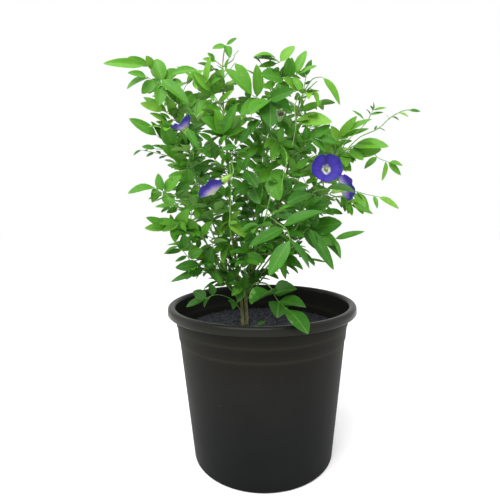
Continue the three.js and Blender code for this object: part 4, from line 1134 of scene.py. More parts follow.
SHOOT_YOUTH = 0.1


def along_shoot(name, course, size, spacing):
    """Small leaflets set in turn on both sides of a shoot."""
    luck = random.Random(name)
    length = length_of(course)
    blades = []
    for step in range(int(LEAFY_SHARE * length / spacing)):
        place, tangent = point_along(course, 1 - step * spacing / length)
        across = tangent.cross(Vector((0, -0.6, 1))).normalized() * (1 if step % 2 else -1)
        blades.append(
            {
                "place": place,
                "along": (tangent * 0.8 + across + UP * luck.uniform(-0.5, 0.3)).normalized(),
                "upper": (UP + Vector((luck.uniform(-0.5, 0.5), -0.5, 0))).normalized(),
                "size": size * luck.uniform(0.8, 1.2),
                "width": LEAFLET_SLENDERNESS,
                "fold": luck.uniform(0.5, 2),
                "droop": luck.uniform(0.5, 1.5),
                "twist": luck.uniform(*TWISTS),
                "youth_and_light": SHOOT_YOUTH,
                "shade": luck.uniform(*SHADES),
            }
        )
    return blades


for name, (stalk, share, points, size, spacing) in SHOOTS.items():
    start, _ = point_along(courses[stalk], share)
    course = smooth_course([start, *points], 6)
    courses[name] = course
    blades = along_shoot(name, course, size, spacing) if size else ()
    source = carrier_mesh(name, [(course, np.linspace(*SHOOT_RADII, len(course)))], blades)
    making = (leaf_tree, LEAF_VALUES) if blades else (sweep_tree, {"Sides": 6, "Finish": vine_finish})
    finished(grown(name, source, *making))
print("shoots:", len(SHOOTS))

# %% [markdown]
# ## More leaves
# The plant carries many more leaves than the CAD model holds. The ones that can be told apart at its front
# are placed one by one, like those above. The others fill its inside and its back by a rule: one leaf every
# centimetre or two of stalk, each a golden angle further round than the last, reaching outwards and up.

# %% More leaves in front
# By stalk: the share that each grows at, the way its upper side looks, its stalk and its leaflets, as above
FRONT_LEAVES = {
    "vine_upper_left": [
        (0.97, (0, 0.8), [(-115, -80, 492), (-113, -84, 491)],
         [(1, -83, -92, 462, 0.28), (0.8, -128, -84, 513, 0.3), (0.7, -125, -88, 474, 0.45)]),
        (0.84, (0, 0.6), [(-96, -74, 462), (-94, -78, 465)],
         [(1, -107, -84, 479, 0.35), (0.9, -95, -82, 478, 0.4), (0.6, -109, -80, 456, 0.3),
          (0.8, -82, -80, 458, 0.45), (0.3, -92, -78, 443, 0.35)]),
        (0.71, (0, 0.6), [(-86, -68, 429), (-84, -72, 436)],
         [(1, -75, -78, 410, 0.3), (1, -68, -72, 444, 0.32), (0.6, -95, -76, 409, 0.36),
          (0.5, -69, -68, 426, 0.4), (0.8, -99, -76, 430, 0.35)]),
        (0.6, (0, 0.7), [(-84, -62, 399), (-87, -66, 404)],
         [(1, -96, -74, 396, 0.42), (0.6, -65, -68, 408, 0.42), (0.7, -79, -64, 416, 0.45),
          (0.2, -64, -64, 392, 0.36)]),
        (0.53, (0, 0.6), [(-86, -60, 376), (-91, -66, 380)],
         [(1, -110, -74, 384, 0.5), (0.8, -101, -74, 360, 0.42), (0.7, -88, -68, 394, 0.6),
          (0.3, -79, -62, 360, 0.4)]),
        (0.4, (0, 0.8), [(-74, -46, 348), (-81, -54, 352)],
         [(1, -96, -62, 341, 0.4), (0.8, -80, -58, 333, 0.44), (0.5, -59, -54, 349, 0.36),
          (0.9, -70, -52, 335, 0.42), (0.3, -61, -46, 334, 0.4)]),
        (0.8, (0, 0.6), [(-102, -72, 449), (-105, -76, 449)],
         [(1, -116, -82, 455, 0.4), (0.7, -108, -80, 439, 0.42)]),
        (0.6, (0.8, -0.1), [(-87, -92, 437), (-83, -100, 433)], [(1, -73, -104, 411, 0.3)]),
        (0.7, (0, 0.5), [(-108, -76, 446)], [(1, -127, -82, 455, 0.36), (0.6, -121, -80, 446, 0.3)]),
        (0.56, (0, 0.5), [(-111, -66, 415), (-126, -68, 417)],
         [(1, -141, -70, 419, 0.3), (0.8, -129, -70, 421, 0.35), (0.5, -120, -70, 420, 0.35),
          (0.3, -110, -70, 420, 0.35)]),
        (0.92, (0, 0.7), [(-102, -76, 499)], [(1, -72, -82, 500, 0.3), (0.6, -90, -80, 488, 0.4)]),
    ],
    "vine_back_left": [
        (0.87, (0, 0.5), [(-102, 60, 503), (-92, 48, 515)],
         [(1, -109, 40, 485, 0.42), (1, -96, 36, 473, 0.42), (1, -74, 38, 484, 0.42),
          (0.9, -109, 44, 513, 0.5), (0.9, -76, 44, 515, 0.12)]),
        (0.6, (0, 0.6), [(-103, 50, 408), (-107, 40, 418)],
         [(1, -122, 30, 428, 0.36), (0.7, -84, 40, 418, 0.42), (0.5, -111, 44, 396, 0.42)]),
    ],
    "stem_left": [
        (0.69, (0, 0.6), [(-45, -48, 432), (-46, -54, 436)],
         [(1, -70, -68, 452, 0.5), (1, -27, -64, 468, 0.26), (0.7, -18, -60, 440, 0.35),
          (0.5, -71, -58, 439, 0.34), (0.9, -54, -64, 462, 0.45)]),
        (0.64, (0, 0.7), [(-34, -52, 415), (-25, -60, 423)],
         [(1, -12, -66, 440, 0.32), (0.8, -47, -64, 415, 0.4), (0.6, -17, -58, 413, 0.35),
          (0.5, -42, -56, 431, 0.35)]),
        (0.59, (0, 0.7), [(-50, -50, 398), (-58, -56, 407)],
         [(1, -75, -62, 418, 0.42), (0.9, -57, -60, 427, 0.36), (0.8, -74, -62, 399, 0.42),
          (0.5, -39, -56, 415, 0.35), (0.3, -62, -58, 386, 0.4)]),
        (0.45, (0, 0.9), [(-41, -44, 330), (-42, -50, 330)],
         [(1, -16, -64, 307, 0.3), (0.6, -53, -48, 311, 0.45), (0.5, -27, -48, 341, 0.4)]),
        (0.37, (0, 0.7), [(-43, -26, 299), (-49, -34, 297)],
         [(1, -64, -42, 288, 0.4), (0.7, -52, -38, 275, 0.34), (0.6, -37, -36, 283, 0.36),
          (0.4, -56, -38, 307, 0.42)]),
        (0.8, (0, 0.5), [(-59, -34, 489), (-67, -40, 499)],
         [(1, -61, -44, 530, 0.24), (0.8, -48, -48, 504, 0.42), (0.7, -82, -42, 512, 0.3),
          (0.6, -58, -44, 477, 0.36)]),
        (1, (0, 0.7), [(-42, -17, 555)],
         [(1, -28, -22, 560, 0.25), (0.6, -59, -22, 548, 0.34), (0.6, -37, -24, 536, 0.4)]),
        (0.94, (0, 0.7), [(-57, -18, 536)], [(1, -66, -22, 543, 0.36), (0.8, -72, -22, 535, 0.3)]),
        (0.68, (0, 0.5), [(-50, -50, 422), (-58, -56, 425)],
         [(1, -74, -62, 436, 0.4), (0.8, -67, -60, 415, 0.45), (0.6, -42, -56, 434, 0.42),
          (0.5, -52, -54, 410, 0.42)]),
        (0.58, (0, 0.4), [(-35, -48, 383), (-30, -54, 388)],
         [(1, -21, -60, 405, 0.42), (0.8, -16, -58, 379, 0.42), (0.6, -38, -54, 401, 0.4),
          (0.5, -28, -54, 367, 0.42)]),
        (0.52, (0, 0.5), [(-45, -42, 360), (-51, -46, 366)],
         [(1, -60, -50, 379, 0.36), (0.7, -63, -50, 358, 0.42), (0.5, -39, -48, 375, 0.4)]),
        (0.92, (0, 0.6), [(-43, -18, 524)], [(1, -39, -22, 537, 0.35), (0.6, -54, -20, 529, 0.3)]),
        (0.9, (0, 0.5), [(-31, -22, 531)], [(1, -10, -26, 497, 0.38)]),
        (0.82, (0, 0.4), [(-30, -28, 486)], [(1, -44, -34, 465, 0.34), (0.6, -25, -30, 470, 0.36)]),
        (0.14, (0, 1), [(-34, -8, 212)], [(1, -46, -14, 221, 0.42)]),
        (0.24, (0, 0.8), [(-49, -10, 245), (-59, -16, 248)],
         [(1, -79, -24, 239, 0.3), (0.7, -72, -20, 254, 0.3)]),
        (0.72, (0, 0.6), [(-35, -50, 441), (-28, -54, 445)],
         [(1, -15, -58, 452, 0.36), (0.8, -22, -56, 434, 0.36), (0.6, -35, -54, 427, 0.36)]),
        (0.63, (0, 0.6), [(-36, -46, 418), (-32, -50, 423)],
         [(1, -27, -56, 433, 0.4), (0.6, -40, -54, 427, 0.4)]),
        (0.61, (0, 0.6), [(-41, -46, 398), (-45, -50, 405)],
         [(1, -51, -56, 417, 0.36), (0.7, -37, -54, 413, 0.36)]),
        (0.86, (0, 0.4), [(-35, -40, 473), (-30, -46, 464)],
         [(1, -21, -54, 471, 0.4), (0.6, -17, -52, 456, 0.3)]),
        (0.52, (0, 0.6), [(-45, -40, 369), (-48, -46, 361)],
         [(1, -50, -52, 376, 0.4), (0.5, -35, -50, 372, 0.36)]),
    ],
    "vine_left": [
        (0.5, (0, 0.8), [(-75, -46, 313), (-81, -54, 321)],
         [(1, -105, -62, 324, 0.36), (0.6, -62, -52, 329, 0.45), (0.9, -96, -58, 333, 0.4)]),
        (0.8, (0, 0.6), [(-99, -62, 331), (-103, -66, 328)],
         [(1, -131, -76, 331, 0.26), (0.8, -119, -72, 318, 0.3), (0.6, -93, -66, 318, 0.4)]),
    ],
    "vine_lower_left": [
        (0.5, (0, 0.8), [(-73, -32, 284), (-77, -42, 291)],
         [(1, -94, -52, 299, 0.36), (0.7, -91, -50, 283, 0.36), (0.5, -62, -40, 297, 0.42)]),
    ],
    "vine_front_middle": [
        (0.3, (0, 0.6), [(-15, -48, 288), (-19, -52, 289)],
         [(1, -41, -60, 293, 0.42), (1, 2, -58, 277, 0.42), (0.6, -24, -50, 270, 0.4),
          (0.4, -28, -46, 303, 0.4)]),
    ],
    "vine_front": [
        (0.12, (0, 0.7), [(-23, -14, 236), (-27, -20, 241)],
         [(1, -40, -28, 230, 0.5), (1, -44, -26, 247, 0.4), (0.6, -21, -22, 259, 0.42),
          (0.8, -32, -24, 220, 0.4)]),
    ],
    "vine_low_left": [
        (0.2, (0, 1.2), [(-45, -14, 240), (-51, -20, 247)],
         [(1, -76, -30, 265, 0.25), (0.8, -64, -26, 243, 0.34), (0.5, -39, -20, 261, 0.4)]),
    ],
    "vine_top_middle": [
        (0.5, (0, 0.5), [(-4, -46, 376), (-15, -60, 375), (-21, -68, 391)],
         [(1, -4, -80, 370, 0.46), (0.6, -4, -76, 350, 0.5), (0.5, -31, -66, 363, 0.42),
          (1, -31, -72, 402, 0.36), (1, -14, -72, 408, 0.36)]),
        (0.55, (0, 0.5), [(9, -44, 394), (13, -54, 388)],
         [(1, 18, -66, 354, 0.5), (0.7, -3, -60, 375, 0.46), (0.8, 34, -62, 374, 0.42),
          (0.5, -10, -54, 390, 0.4), (0.5, 27, -54, 400, 0.42)]),
        (0.68, (0, 0.6), [(16, -50, 429), (23, -60, 424)],
         [(1, 12, -70, 401, 0.4), (1, 31, -70, 399, 0.42), (1, 44, -66, 415, 0.36), (1, 24, -66, 442, 0.34),
          (0.8, 3, -62, 418, 0.4), (0.9, 6, -62, 438, 0.3)]),
        (0.74, (0, 0.7), [(3, -48, 451), (-5, -58, 452)],
         [(1, -13, -66, 433, 0.6), (0.8, -23, -62, 451, 0.42), (0.5, 3, -58, 467, 0.36),
          (0.5, 9, -56, 434, 0.36)]),
        (0.92, (0, 0.6), [(24, -46, 501), (31, -50, 507)],
         [(1, 35, -54, 524, 0.36), (0.8, 49, -52, 501, 0.42), (0.4, 36, -50, 488, 0.42),
          (0.2, 5, -50, 491, 0.4)]),
        (0.97, (0, 0.7), [(7, -50, 516), (1, -54, 518)],
         [(1, -8, -60, 523, 0.36), (0.5, 14, -54, 524, 0.34)]),
        (0.3, (0, 0.5), [(-4, -24, 346), (4, -40, 356)],
         [(1, 17, -52, 338, 0.42), (1, -7, -50, 336, 0.42), (0.6, -18, -40, 351, 0.42),
          (0.5, 6, -40, 368, 0.42)]),
        (0.66, (0, 0.5), [(2, -40, 426), (-8, -46, 422)],
         [(1, -27, -52, 430, 0.42), (0.8, -16, -50, 407, 0.42), (0.6, -6, -48, 440, 0.42),
          (0.5, 1, -46, 409, 0.4)]),
        (1, (0, 0.3), [(10, -50, 520), (18, -54, 525)], [(1, -8, -58, 525, 0.36)]),
        (0.6, (0, 0.6), [(2, -40, 423), (-5, -46, 427)],
         [(1, -14, -52, 436, 0.42), (0.7, -12, -50, 421, 0.36)]),
        (0.53, (0, 0.6), [(2, -34, 394), (-6, -42, 396)],
         [(1, -19, -50, 401, 0.4), (0.6, -4, -48, 405, 0.36)]),
    ],
    "stem_right": [
        (0.8, (0, 0.7), [(53, -62, 425), (65, -68, 428)],
         [(1, 88, -74, 419, 0.3), (0.9, 81, -72, 440, 0.4), (0.6, 53, -68, 441, 0.42),
          (0.5, 58, -68, 408, 0.42), (0.8, 76, -70, 410, 0.36), (0.3, 40, -60, 410, 0.42)]),
        (0.84, (0, 0.6), [(34, -60, 448), (30, -66, 452)],
         [(1, 17, -72, 466, 0.42), (0.8, 20, -72, 439, 0.5), (0.5, 47, -66, 446, 0.4),
          (0.5, 32, -64, 429, 0.42)]),
        (0.96, (0, 0.5), [(54, -50, 495), (56, -50, 504)],
         [(1, 61, -52, 522, 0.36), (0.9, 44, -50, 509, 0.42), (0.5, 61, -52, 497, 0.3)]),
        (0.45, (0, 0.6), [(1, -36, 307), (-7, -46, 318)],
         [(1, -23, -56, 329, 0.42), (1, 0, -56, 336, 0.4), (0.6, 10, -48, 315, 0.42),
          (0.4, -10, -44, 298, 0.4)]),
        (0.6, (0, 0.6), [(29, -54, 360), (37, -62, 367)],
         [(1, 56, -70, 370, 0.4), (0.8, 29, -66, 382, 0.42), (0.5, 44, -62, 353, 0.42)]),
        (0.74, (0, 0.5), [(44, -54, 413), (51, -58, 421)],
         [(1, 67, -64, 434, 0.42), (0.8, 42, -62, 435, 0.42), (0.6, 61, -60, 410, 0.42),
          (0.4, 33, -56, 420, 0.4)]),
        (0.68, (0, 0.5), [(37, -50, 387), (42, -54, 393)],
         [(1, 58, -60, 403, 0.4), (0.8, 34, -58, 407, 0.42), (0.6, 47, -58, 381, 0.4)]),
        (0.97, (0, 0.5), [(48, -56, 484)], [(1, 27, -60, 499, 0.4), (0.6, 43, -58, 499, 0.35)]),
        (0.1, (0, 5 / 3), [(-14, -14, 181), (-7, -16, 186)], [(1, 5, -18, 190, 0.4)]),
    ],
    "vine_right_low": [
        (0.6, (0, 0.7), [(47, -62, 338), (50, -72, 346)],
         [(1, 70, -80, 357, 0.4), (0.8, 36, -72, 357, 0.42), (0.6, 64, -72, 341, 0.3),
          (0.5, 30, -66, 343, 0.4)]),
        (0.42, (0, 0.9), [(27, -40, 304), (28, -50, 315)],
         [(1, 51, -64, 311, 0.4), (0.8, 13, -54, 308, 0.4), (0.6, 43, -48, 297, 0.3)]),
        (0.97, (0, 0.8), [(102, -58, 353), (107, -66, 348)],
         [(1, 131, -74, 336, 0.26), (0.8, 116, -68, 352, 0.4), (0.7, 109, -68, 335, 0.35)]),
        (0.9, (0, 0.5), [(109, -64, 354)], [(1, 122, -70, 337, 0.4), (0.7, 104, -68, 337, 0.35)]),
    ],
    "vine_lower_right": [
        (0.5, (0, 0.7), [(25, -22, 280), (28, -34, 283)],
         [(1, 52, -50, 268, 0.32), (1, 28, -46, 255, 0.26), (0.8, 46, -42, 289, 0.4),
          (0.4, 11, -28, 275, 0.4)]),
        (0.8, (0, 0.8), [(60, -36, 310), (69, -48, 313)],
         [(1, 91, -62, 298, 0.42), (0.8, 72, -56, 295, 0.3), (0.6, 80, -52, 325, 0.4)]),
        (0.7, (0, 0.7), [(52, -40, 287), (59, -50, 281)],
         [(1, 80, -56, 276, 0.12), (0.9, 66, -54, 271, 0.16)]),
        (0.72, (0, 0.7), [(47, -26, 295)], [(1, 61, -38, 279, 0.3), (0.9, 53, -38, 301, 0.3)]),
        (0.86, (0, 0.7), [(72, -44, 308)], [(1, 99, -56, 283, 0.34)]),
    ],
    "vine_right": [
        (0.6, (0, 0.6), [(65, 8, 376), (58, -4, 387)],
         [(1, 45, -12, 404, 0.42), (1, 66, -12, 404, 0.42), (0.6, 46, -6, 378, 0.42),
          (0.7, 78, -8, 383, 0.32)]),
        (0.78, (0, 0.6), [(103, 4, 413), (106, -12, 414)],
         [(1, 125, -24, 406, 0.5), (0.8, 116, -22, 391, 0.4), (0.6, 99, -16, 425, 0.4)]),
        (0.87, (0, 0.5), [(118, -20, 419)], [(1, 149, -44, 413, 0.4), (0.5, 119, -30, 402, 0.42)]),
        (0.8, (0, 0.5), [(99, -20, 420), (99, -34, 433)],
         [(1, 118, -50, 455, 0.25), (0.9, 86, -46, 444, 0.36), (0.6, 108, -32, 429, 0.3)]),
        (0.72, (0, 0.6), [(86, 14, 408), (77, 0, 417)], [(1, 64, -10, 431, 0.4), (0.7, 82, -6, 427, 0.4)]),
    ],
    "vine_back_right": [
        (0.75, (0, 0.7), [(109, 66, 422), (115, 52, 434)],
         [(1, 136, 40, 429, 0.36), (0.8, 116, 44, 447, 0.42), (0.6, 95, 54, 438, 0.42)]),
        (0.5, (0, 0.6), [(45, 10, 442), (49, 0, 448)], [(1, 56, -10, 459, 0.4), (0.6, 40, -8, 457, 0.36)]),
    ],
    "twig_right": [
        (0.9, (0, 1), [(196, -14, 471)], [(1, 210, -16, 468, 0.26)]),
        (0.78, (0, 1), [(182, -16, 467)], [(1, 193, -20, 461, 0.34)]),
        (0.68, (0, 1), [(173, -17, 462)], [(1, 181, -20, 457, 0.4)]),
        (0.64, (0, 1), [(169, -17, 461)], [(1, 165, -18, 464, 0.45)]),
        (0.48, (0, 1), [(155, -15, 449)], [(1, 164, -18, 444, 0.36)]),
        (0.42, (0, 1), [(152, -11, 447)], [(1, 155, -13, 452, 0.4)]),
    ],
    "shoot_right_upper": [
        (0.72, (0, 1), [(132, -33, 455)], [(1, 116, -36, 466, 0.26)]),
        (0.85, (0, 1), [(138, -38, 460)], [(1, 132, -40, 467, 0.4), (1, 153, -42, 461, 0.22)]),
        (1, (0, 1), [(141, -40, 465)],
         [(1, 136, -42, 470, 0.4), (1, 140, -44, 474, 0.4), (1, 155, -46, 466, 0.26)]),
    ],
    "vine_back": [
        (1, (0, 0.5), [(30, 80, 523), (26, 72, 525)],
         [(1, 8, 66, 527, 0.5), (1, 45, 66, 532, 0.5), (0.6, 15, 70, 510, 0.5)]),
    ],
}


def leaves_piece(name, laid_out):
    """One piece of the leaves that are laid out."""
    lines = [line for line, _ in laid_out]
    blades = [blade for _, set_on_it in laid_out for blade in set_on_it]
    piece = grown(name, carrier_mesh(name, lines, blades), leaf_tree, LEAF_VALUES)
    finished(piece)
    return triangles(piece)


front_triangles = 0
for stalk, rows in FRONT_LEAVES.items():
    laid_out = [placed_leaf(f"{stalk} {row[0]}", stalk, *row) for row in rows]
    front_triangles += leaves_piece("front_leaves_on_" + stalk, laid_out)
print("more leaves in front:", sum(map(len, FRONT_LEAVES.values())), "with", front_triangles, "triangles")

# %% Further leaves along each stalk
# First and last share of the stalk that carries them, distance between two, and leaflet length, in mm
FURTHER = {
    "stem_left": (0.2, 0.92, 13, 27),
    "stem_right": (0.22, 0.93, 13, 27),
    "vine_low_left": (0.25, 0.9, 18, 22),
    "vine_lower_left": (0.2, 0.95, 17, 25),
    "vine_left": (0.2, 0.95, 17, 26),
    "vine_back_left": (0.2, 0.95, 13, 30),
    "vine_upper_left": (0.2, 0.9, 16, 25),
    "vine_top_middle": (0.2, 0.95, 13, 27),
    "vine_lower_right": (0.3, 0.9, 18, 25),
    "vine_right_low": (0.2, 0.9, 18, 26),
    "vine_right": (0.2, 0.85, 18, 26),
    "vine_back_right": (0.2, 0.9, 13, 30),
    "vine_back": (0.2, 0.95, 13, 30),
    "vine_front_middle": (0.2, 0.8, 16, 25),
    "shoot_middle": (0.15, 1, 14, 27),
    "shoot_middle_left": (0.15, 1, 14, 27),
    "shoot_middle_right": (0.15, 1, 14, 27),
}
GOLDEN_ANGLE = math.radians(137.5)
PLANT_AXIS = Vector((-15, 0, 0))
PLANT_HALF_WIDTH = 120
# Leaves get smaller along a stalk: size at its start, and what it loses to its tip
START_SIZE, SIZE_LOSS = 1.15, 0.35
# How much a leaf reaches along its stalk, off its stalk, off the plant's axis and up
REACH = (0.5, 0.9, 0.5, 0.1)
LEAF_LENGTHS = (1.5, 2.1)
SAGS = (0, 8)
LEAF_SIZES = (0.85, 1.1)
THREE_PAIRS_SHARE = 0.25


def further_leaf(stalk, step, share, size):
    """One leaf by the rule: its stalk line and leaflet points."""
    luck = random.Random(f"{stalk} {step}")
    size *= START_SIZE - SIZE_LOSS * share
    base, tangent = point_along(courses[stalk], share)
    outward = Vector((base.x - PLANT_AXIS.x, base.y - PLANT_AXIS.y, 0)) / PLANT_HALF_WIDTH
    sideways = tangent.orthogonal().normalized()
    sideways.rotate(Matrix.Rotation(step * GOLDEN_ANGLE, 3, tangent))
    onward, aside, away, rise = REACH
    reach = tangent * onward + sideways * aside + outward * away + UP * rise
    reach.normalize()
    length = size * luck.uniform(*LEAF_LENGTHS)
    tip = base + reach * length - UP * luck.uniform(*SAGS)
    upper = UP + outward * 0.5 + Vector((luck.uniform(-0.4, 0.4), luck.uniform(-0.4, 0.4), 0))
    youth_and_light = youth_and_light_at(base.z, luck)
    pairs = 3 if luck.random() < THREE_PAIRS_SHARE else 2
    return ruled_leaf(base, tip, upper, size * luck.uniform(*LEAF_SIZES), pairs, luck, youth_and_light)


further_count = 0
for stalk, (first, last, spacing, size) in FURTHER.items():
    count = round((last - first) * length_of(courses[stalk]) / spacing)
    shares = [first + (last - first) * (step + 0.5) / count for step in range(count)]
    laid_out = [further_leaf(stalk, step, share, size) for step, share in enumerate(shares)]
    leaves_piece("leaves_on_" + stalk, laid_out)
    further_count += count
print("further leaves:", further_count)

# %% [markdown]
# ## Flowers
# A butterfly pea flower is one broad banner petal, notched at its top, with a pale eye where a small keel
# sits. Its outside is cream near the green cup that holds it. The banner is a round sheet of rings, dished
# and waved at its margin. A half-shut flower has its two halves raised towards each other.

# %% Banner petal
BANNER_LENGTH = 33
BANNER_WIDTH = 37
BANNER_THICKNESS = 0.45
BANNER_DISH = 6
THROAT_DEPTH = 2.0
THROAT_WIDTH = 0.16
CREASE_DEPTH = 2.2
# Waves of the sheet and of its margin: how many round the petal, and how high
WAVES, SMALL_WAVES, MARGIN_WAVES = (7, 0.9), (12, 0.5), (5, 0.02)
FOLD_RISE = 1.0
FOLDED_WIDTH = 0.4
BANNER_RINGS = 10
BANNER_SPOKES = 48
NOTCH_DEPTH = 0.16
NOTCH_WIDTH = math.radians(9)
# The stalk, its share, the middle of the banner, the way that it looks, how far it is turned about that way
# in degrees, how far it is open, its size, and whether the cup holds it like a hood, from the end of its fold
FLOWERS = {
    "flower_left": ("vine_upper_left", 0.62, (-86, -90, 434), (-5, 0.3, 8.5), 90, 0.6, 0.9, False),
    "flower_lower_left": ("stem_left", 0.66, (-57, -82, 363), (-5, -0.6, 8), 0, 0.5, 1, True),
    "flower_front": ("vine_right_low", 0.82, (71.5, -96, 388), (0, -1, 0.1), 0, 1, 0.94, False),
    "flower_right": ("vine_right_low", 0.9, (94.5, -72, 367), (7, 1.5, 2.5), 0, 0.9, 1, False),
}


def banner_mesh(name, opened, place):
    """A banner petal that looks along +Z before place turns it: a closed sheet with a front and a back."""
    luck = random.Random(name)
    phase = luck.uniform(0, math.tau)
    spread = FOLDED_WIDTH + (1 - FOLDED_WIDTH) * opened
    points, petal, outside, faces = [], [], [], []

    def vertex(reach, angle, side):
        notch = math.exp(-(((angle - math.pi / 2) / NOTCH_WIDTH) ** 2))
        margin = 1 - NOTCH_DEPTH * notch + MARGIN_WAVES[1] * math.sin(MARGIN_WAVES[0] * angle + phase)
        x = reach * margin * BANNER_WIDTH / 2 * math.cos(angle)
        y = reach * margin * BANNER_LENGTH / 2 * math.sin(angle)
        wave = WAVES[1] * math.sin(WAVES[0] * angle + phase)
        wave += SMALL_WAVES[1] * math.sin(SMALL_WAVES[0] * angle)
        throat = THROAT_DEPTH * math.exp(-((reach / THROAT_WIDTH) ** 2))
        crease = CREASE_DEPTH * notch * reach * (1.2 - reach)
        z = spread * BANNER_DISH * reach**2 + wave * reach**3 - throat - crease + side * BANNER_THICKNESS / 2
        z += (1 - opened) * abs(x) * FOLD_RISE
        points.append(place @ Vector((x * spread, y, z)) * MM)
        petal.append((reach, math.sin(angle), math.cos(angle)))
        return len(points) - 1

    angles = [math.tau * (spoke + 0.5) / BANNER_SPOKES + math.pi / 2 for spoke in range(BANNER_SPOKES)]
    reaches = [(ring + 1) / BANNER_RINGS for ring in range(BANNER_RINGS)]
    margins = []
    for side in (1, -1):
        centre = vertex(0, 0, side)
        rings = [[vertex(reach, angle, side) for angle in angles] for reach in reaches]
        sheet = []
        for spoke in range(BANNER_SPOKES):
            after = (spoke + 1) % BANNER_SPOKES
            sheet.append((centre, rings[0][spoke], rings[0][after]))
            for low, high in zip(rings, rings[1:]):
                sheet.append((low[spoke], high[spoke], high[after], low[after]))
        faces += [face[::side] for face in sheet]
        outside += [float(side < 0)] * len(sheet)
        margins.append(rings[-1])
    front, back = margins
    for spoke in range(BANNER_SPOKES):
        after = (spoke + 1) % BANNER_SPOKES
        faces.append((front[spoke], back[spoke], back[after], front[after]))
        outside.append(0.0)
    mesh = bpy.data.meshes.new("sheet")
    mesh.from_pydata(points, [], faces)
    carry(mesh, "petal", "FLOAT_VECTOR", "POINT", petal)
    carry(mesh, "outside", "FLOAT", "FACE", outside)
    form = bmesh.new()
    form.from_mesh(mesh)
    return mesh_from(form, name, 50)


# %% [markdown]
# The skin of a petal is covered in tiny cones that catch light at a slant, so it looks like velvet. A sheen
# layer gives that, and as the petal is thin, some light also comes through it.


# %% Banner finish
PETAL_VEINS = 34.0
LIGHT_THROUGH_PETAL = 0.25


def make_banner_finish():
    """A velvety violet petal: pale eye, fine radial veins, cream back, and painted shade on the eye's top and
    the crease above it.
    """
    made, tree = new_material("velvety_violet_petal")
    place = add(tree, "ShaderNodeTexCoord").outputs["Object"]
    petal = add(tree, "ShaderNodeAttribute", attribute_name="petal").outputs["Vector"]
    outside = add(tree, "ShaderNodeAttribute", attribute_name="outside").outputs["Fac"]
    reach, up, across = add(tree, "ShaderNodeSeparateXYZ", [petal]).outputs
    fray = add(tree, NOISE, {"Vector": place, "Scale": per_metre(2), "Detail": 3})
    frayed = add(tree, MATH, [fray, 0.06, reach], operation="MULTIPLY_ADD")
    beside = add(tree, MATH, [across], operation="ABSOLUTE")
    # the eye is taller than wide and sits a little low
    tall = add(tree, MAP_RANGE, {"Value": beside, "To Min": 0.85, "To Max": 1.12})
    oval = add(tree, MATH, [frayed, tall], operation="MULTIPLY")
    low = add(tree, MATH, [up, 0.05, oval], operation="MULTIPLY_ADD")
    violet = [(0.4, "37278c"), (0.75, "3b2ea2"), (1.05, "2e238a")]
    pale_stops = [(0.1, "6f8a34"), (0.17, "8c9c54"), (0.23, "e4e4e6"), (0.3, "c9c6dc"), *violet]
    # painted shade: the upper part of the eye's pale ring is painted greyer and dimmer
    shaded_eye_stops = [(0.1, "6f8a34"), (0.16, "8f9a6e"), (0.22, "b4aecb"), (0.3, "6a60a4"), *violet]
    pale_eye, shaded_eye = (add(tree, RAMP, [low], stops) for stops in (pale_stops, shaded_eye_stops))
    upwards = add(tree, MAP_RANGE, {"Value": up, "From Min": -0.3, "From Max": 0.7})
    plain = add(tree, MIX, {"Factor": upwards, "A": pale_eye, "B": shaded_eye}, data_type="RGBA")
    # painted shade: the crease that runs from the eye up to the notch is darkened
    crease_shade_band = {"Value": beside, "From Min": 0.05, "From Max": 0.35, "To Min": 0.75, "To Max": 0}
    fold = add(tree, MATH, [add(tree, MAP_RANGE, crease_shade_band), upwards], operation="MULTIPLY")
    beyond_eye = add(tree, MAP_RANGE, {"Value": reach, "From Min": 0.25, "From Max": 0.4})
    crease_shade = add(tree, MATH, [fold, beyond_eye], operation="MULTIPLY")
    front = add(tree, MIX, {"Factor": crease_shade, "A": plain, "B": linear("241a63")}, data_type="RGBA")
    # the pale part of the back is long: it follows the fold
    slim = add(tree, MAP_RANGE, {"Value": beside, "To Min": 0.72, "To Max": 1.0})
    from_fold = add(tree, MATH, [frayed, slim], operation="MULTIPLY")
    back_stops = [(0.15, "c9cf9c"), (0.36, "cfc6cf"), (0.56, "8d80cf"), (0.72, "4438a0"), (1.0, "2a2078")]
    back = add(tree, RAMP, [from_fold], back_stops)
    face = add(tree, MIX, {"Factor": outside, "A": front, "B": back}, data_type="RGBA")
    angle = add(tree, MATH, [up, across], operation="ARCTAN2")
    spokes = add(tree, MATH, [angle, PETAL_VEINS], operation="MULTIPLY")
    wave = add(tree, MATH, [spokes], operation="SINE")
    on_vein = {"Value": wave, "From Min": 0.2, "From Max": 1.0, "To Min": 0.0, "To Max": 0.35}
    lines = {"Factor": add(tree, MAP_RANGE, on_vein), "A": face, "B": linear("3a2a98")}
    veined = add(tree, MIX, lines, data_type="RGBA", blend_type="MULTIPLY")
    relief = add(tree, BUMP, {"Strength": 0.3, "Distance": 0.3 * MM, "Height": wave})
    looks = {"Base Color": veined, "Roughness": 0.65, "Specular IOR Level": 0.3, "Normal": relief}
    velvet = add(tree, PRINCIPLED, {**looks, "Sheen Weight": 0.25, "Sheen Tint": linear("a9a0ff")})
    glow = add(tree, "ShaderNodeBsdfTranslucent", {"Color": veined})
    both = add(tree, "ShaderNodeMixShader", [LIGHT_THROUGH_PETAL, velvet, glow])
    add(tree, "ShaderNodeOutputMaterial", {"Surface": both})
    return made


banner_finish = make_banner_finish()
print(banner_finish.name, "finish:", len(banner_finish.node_tree.nodes), "nodes")

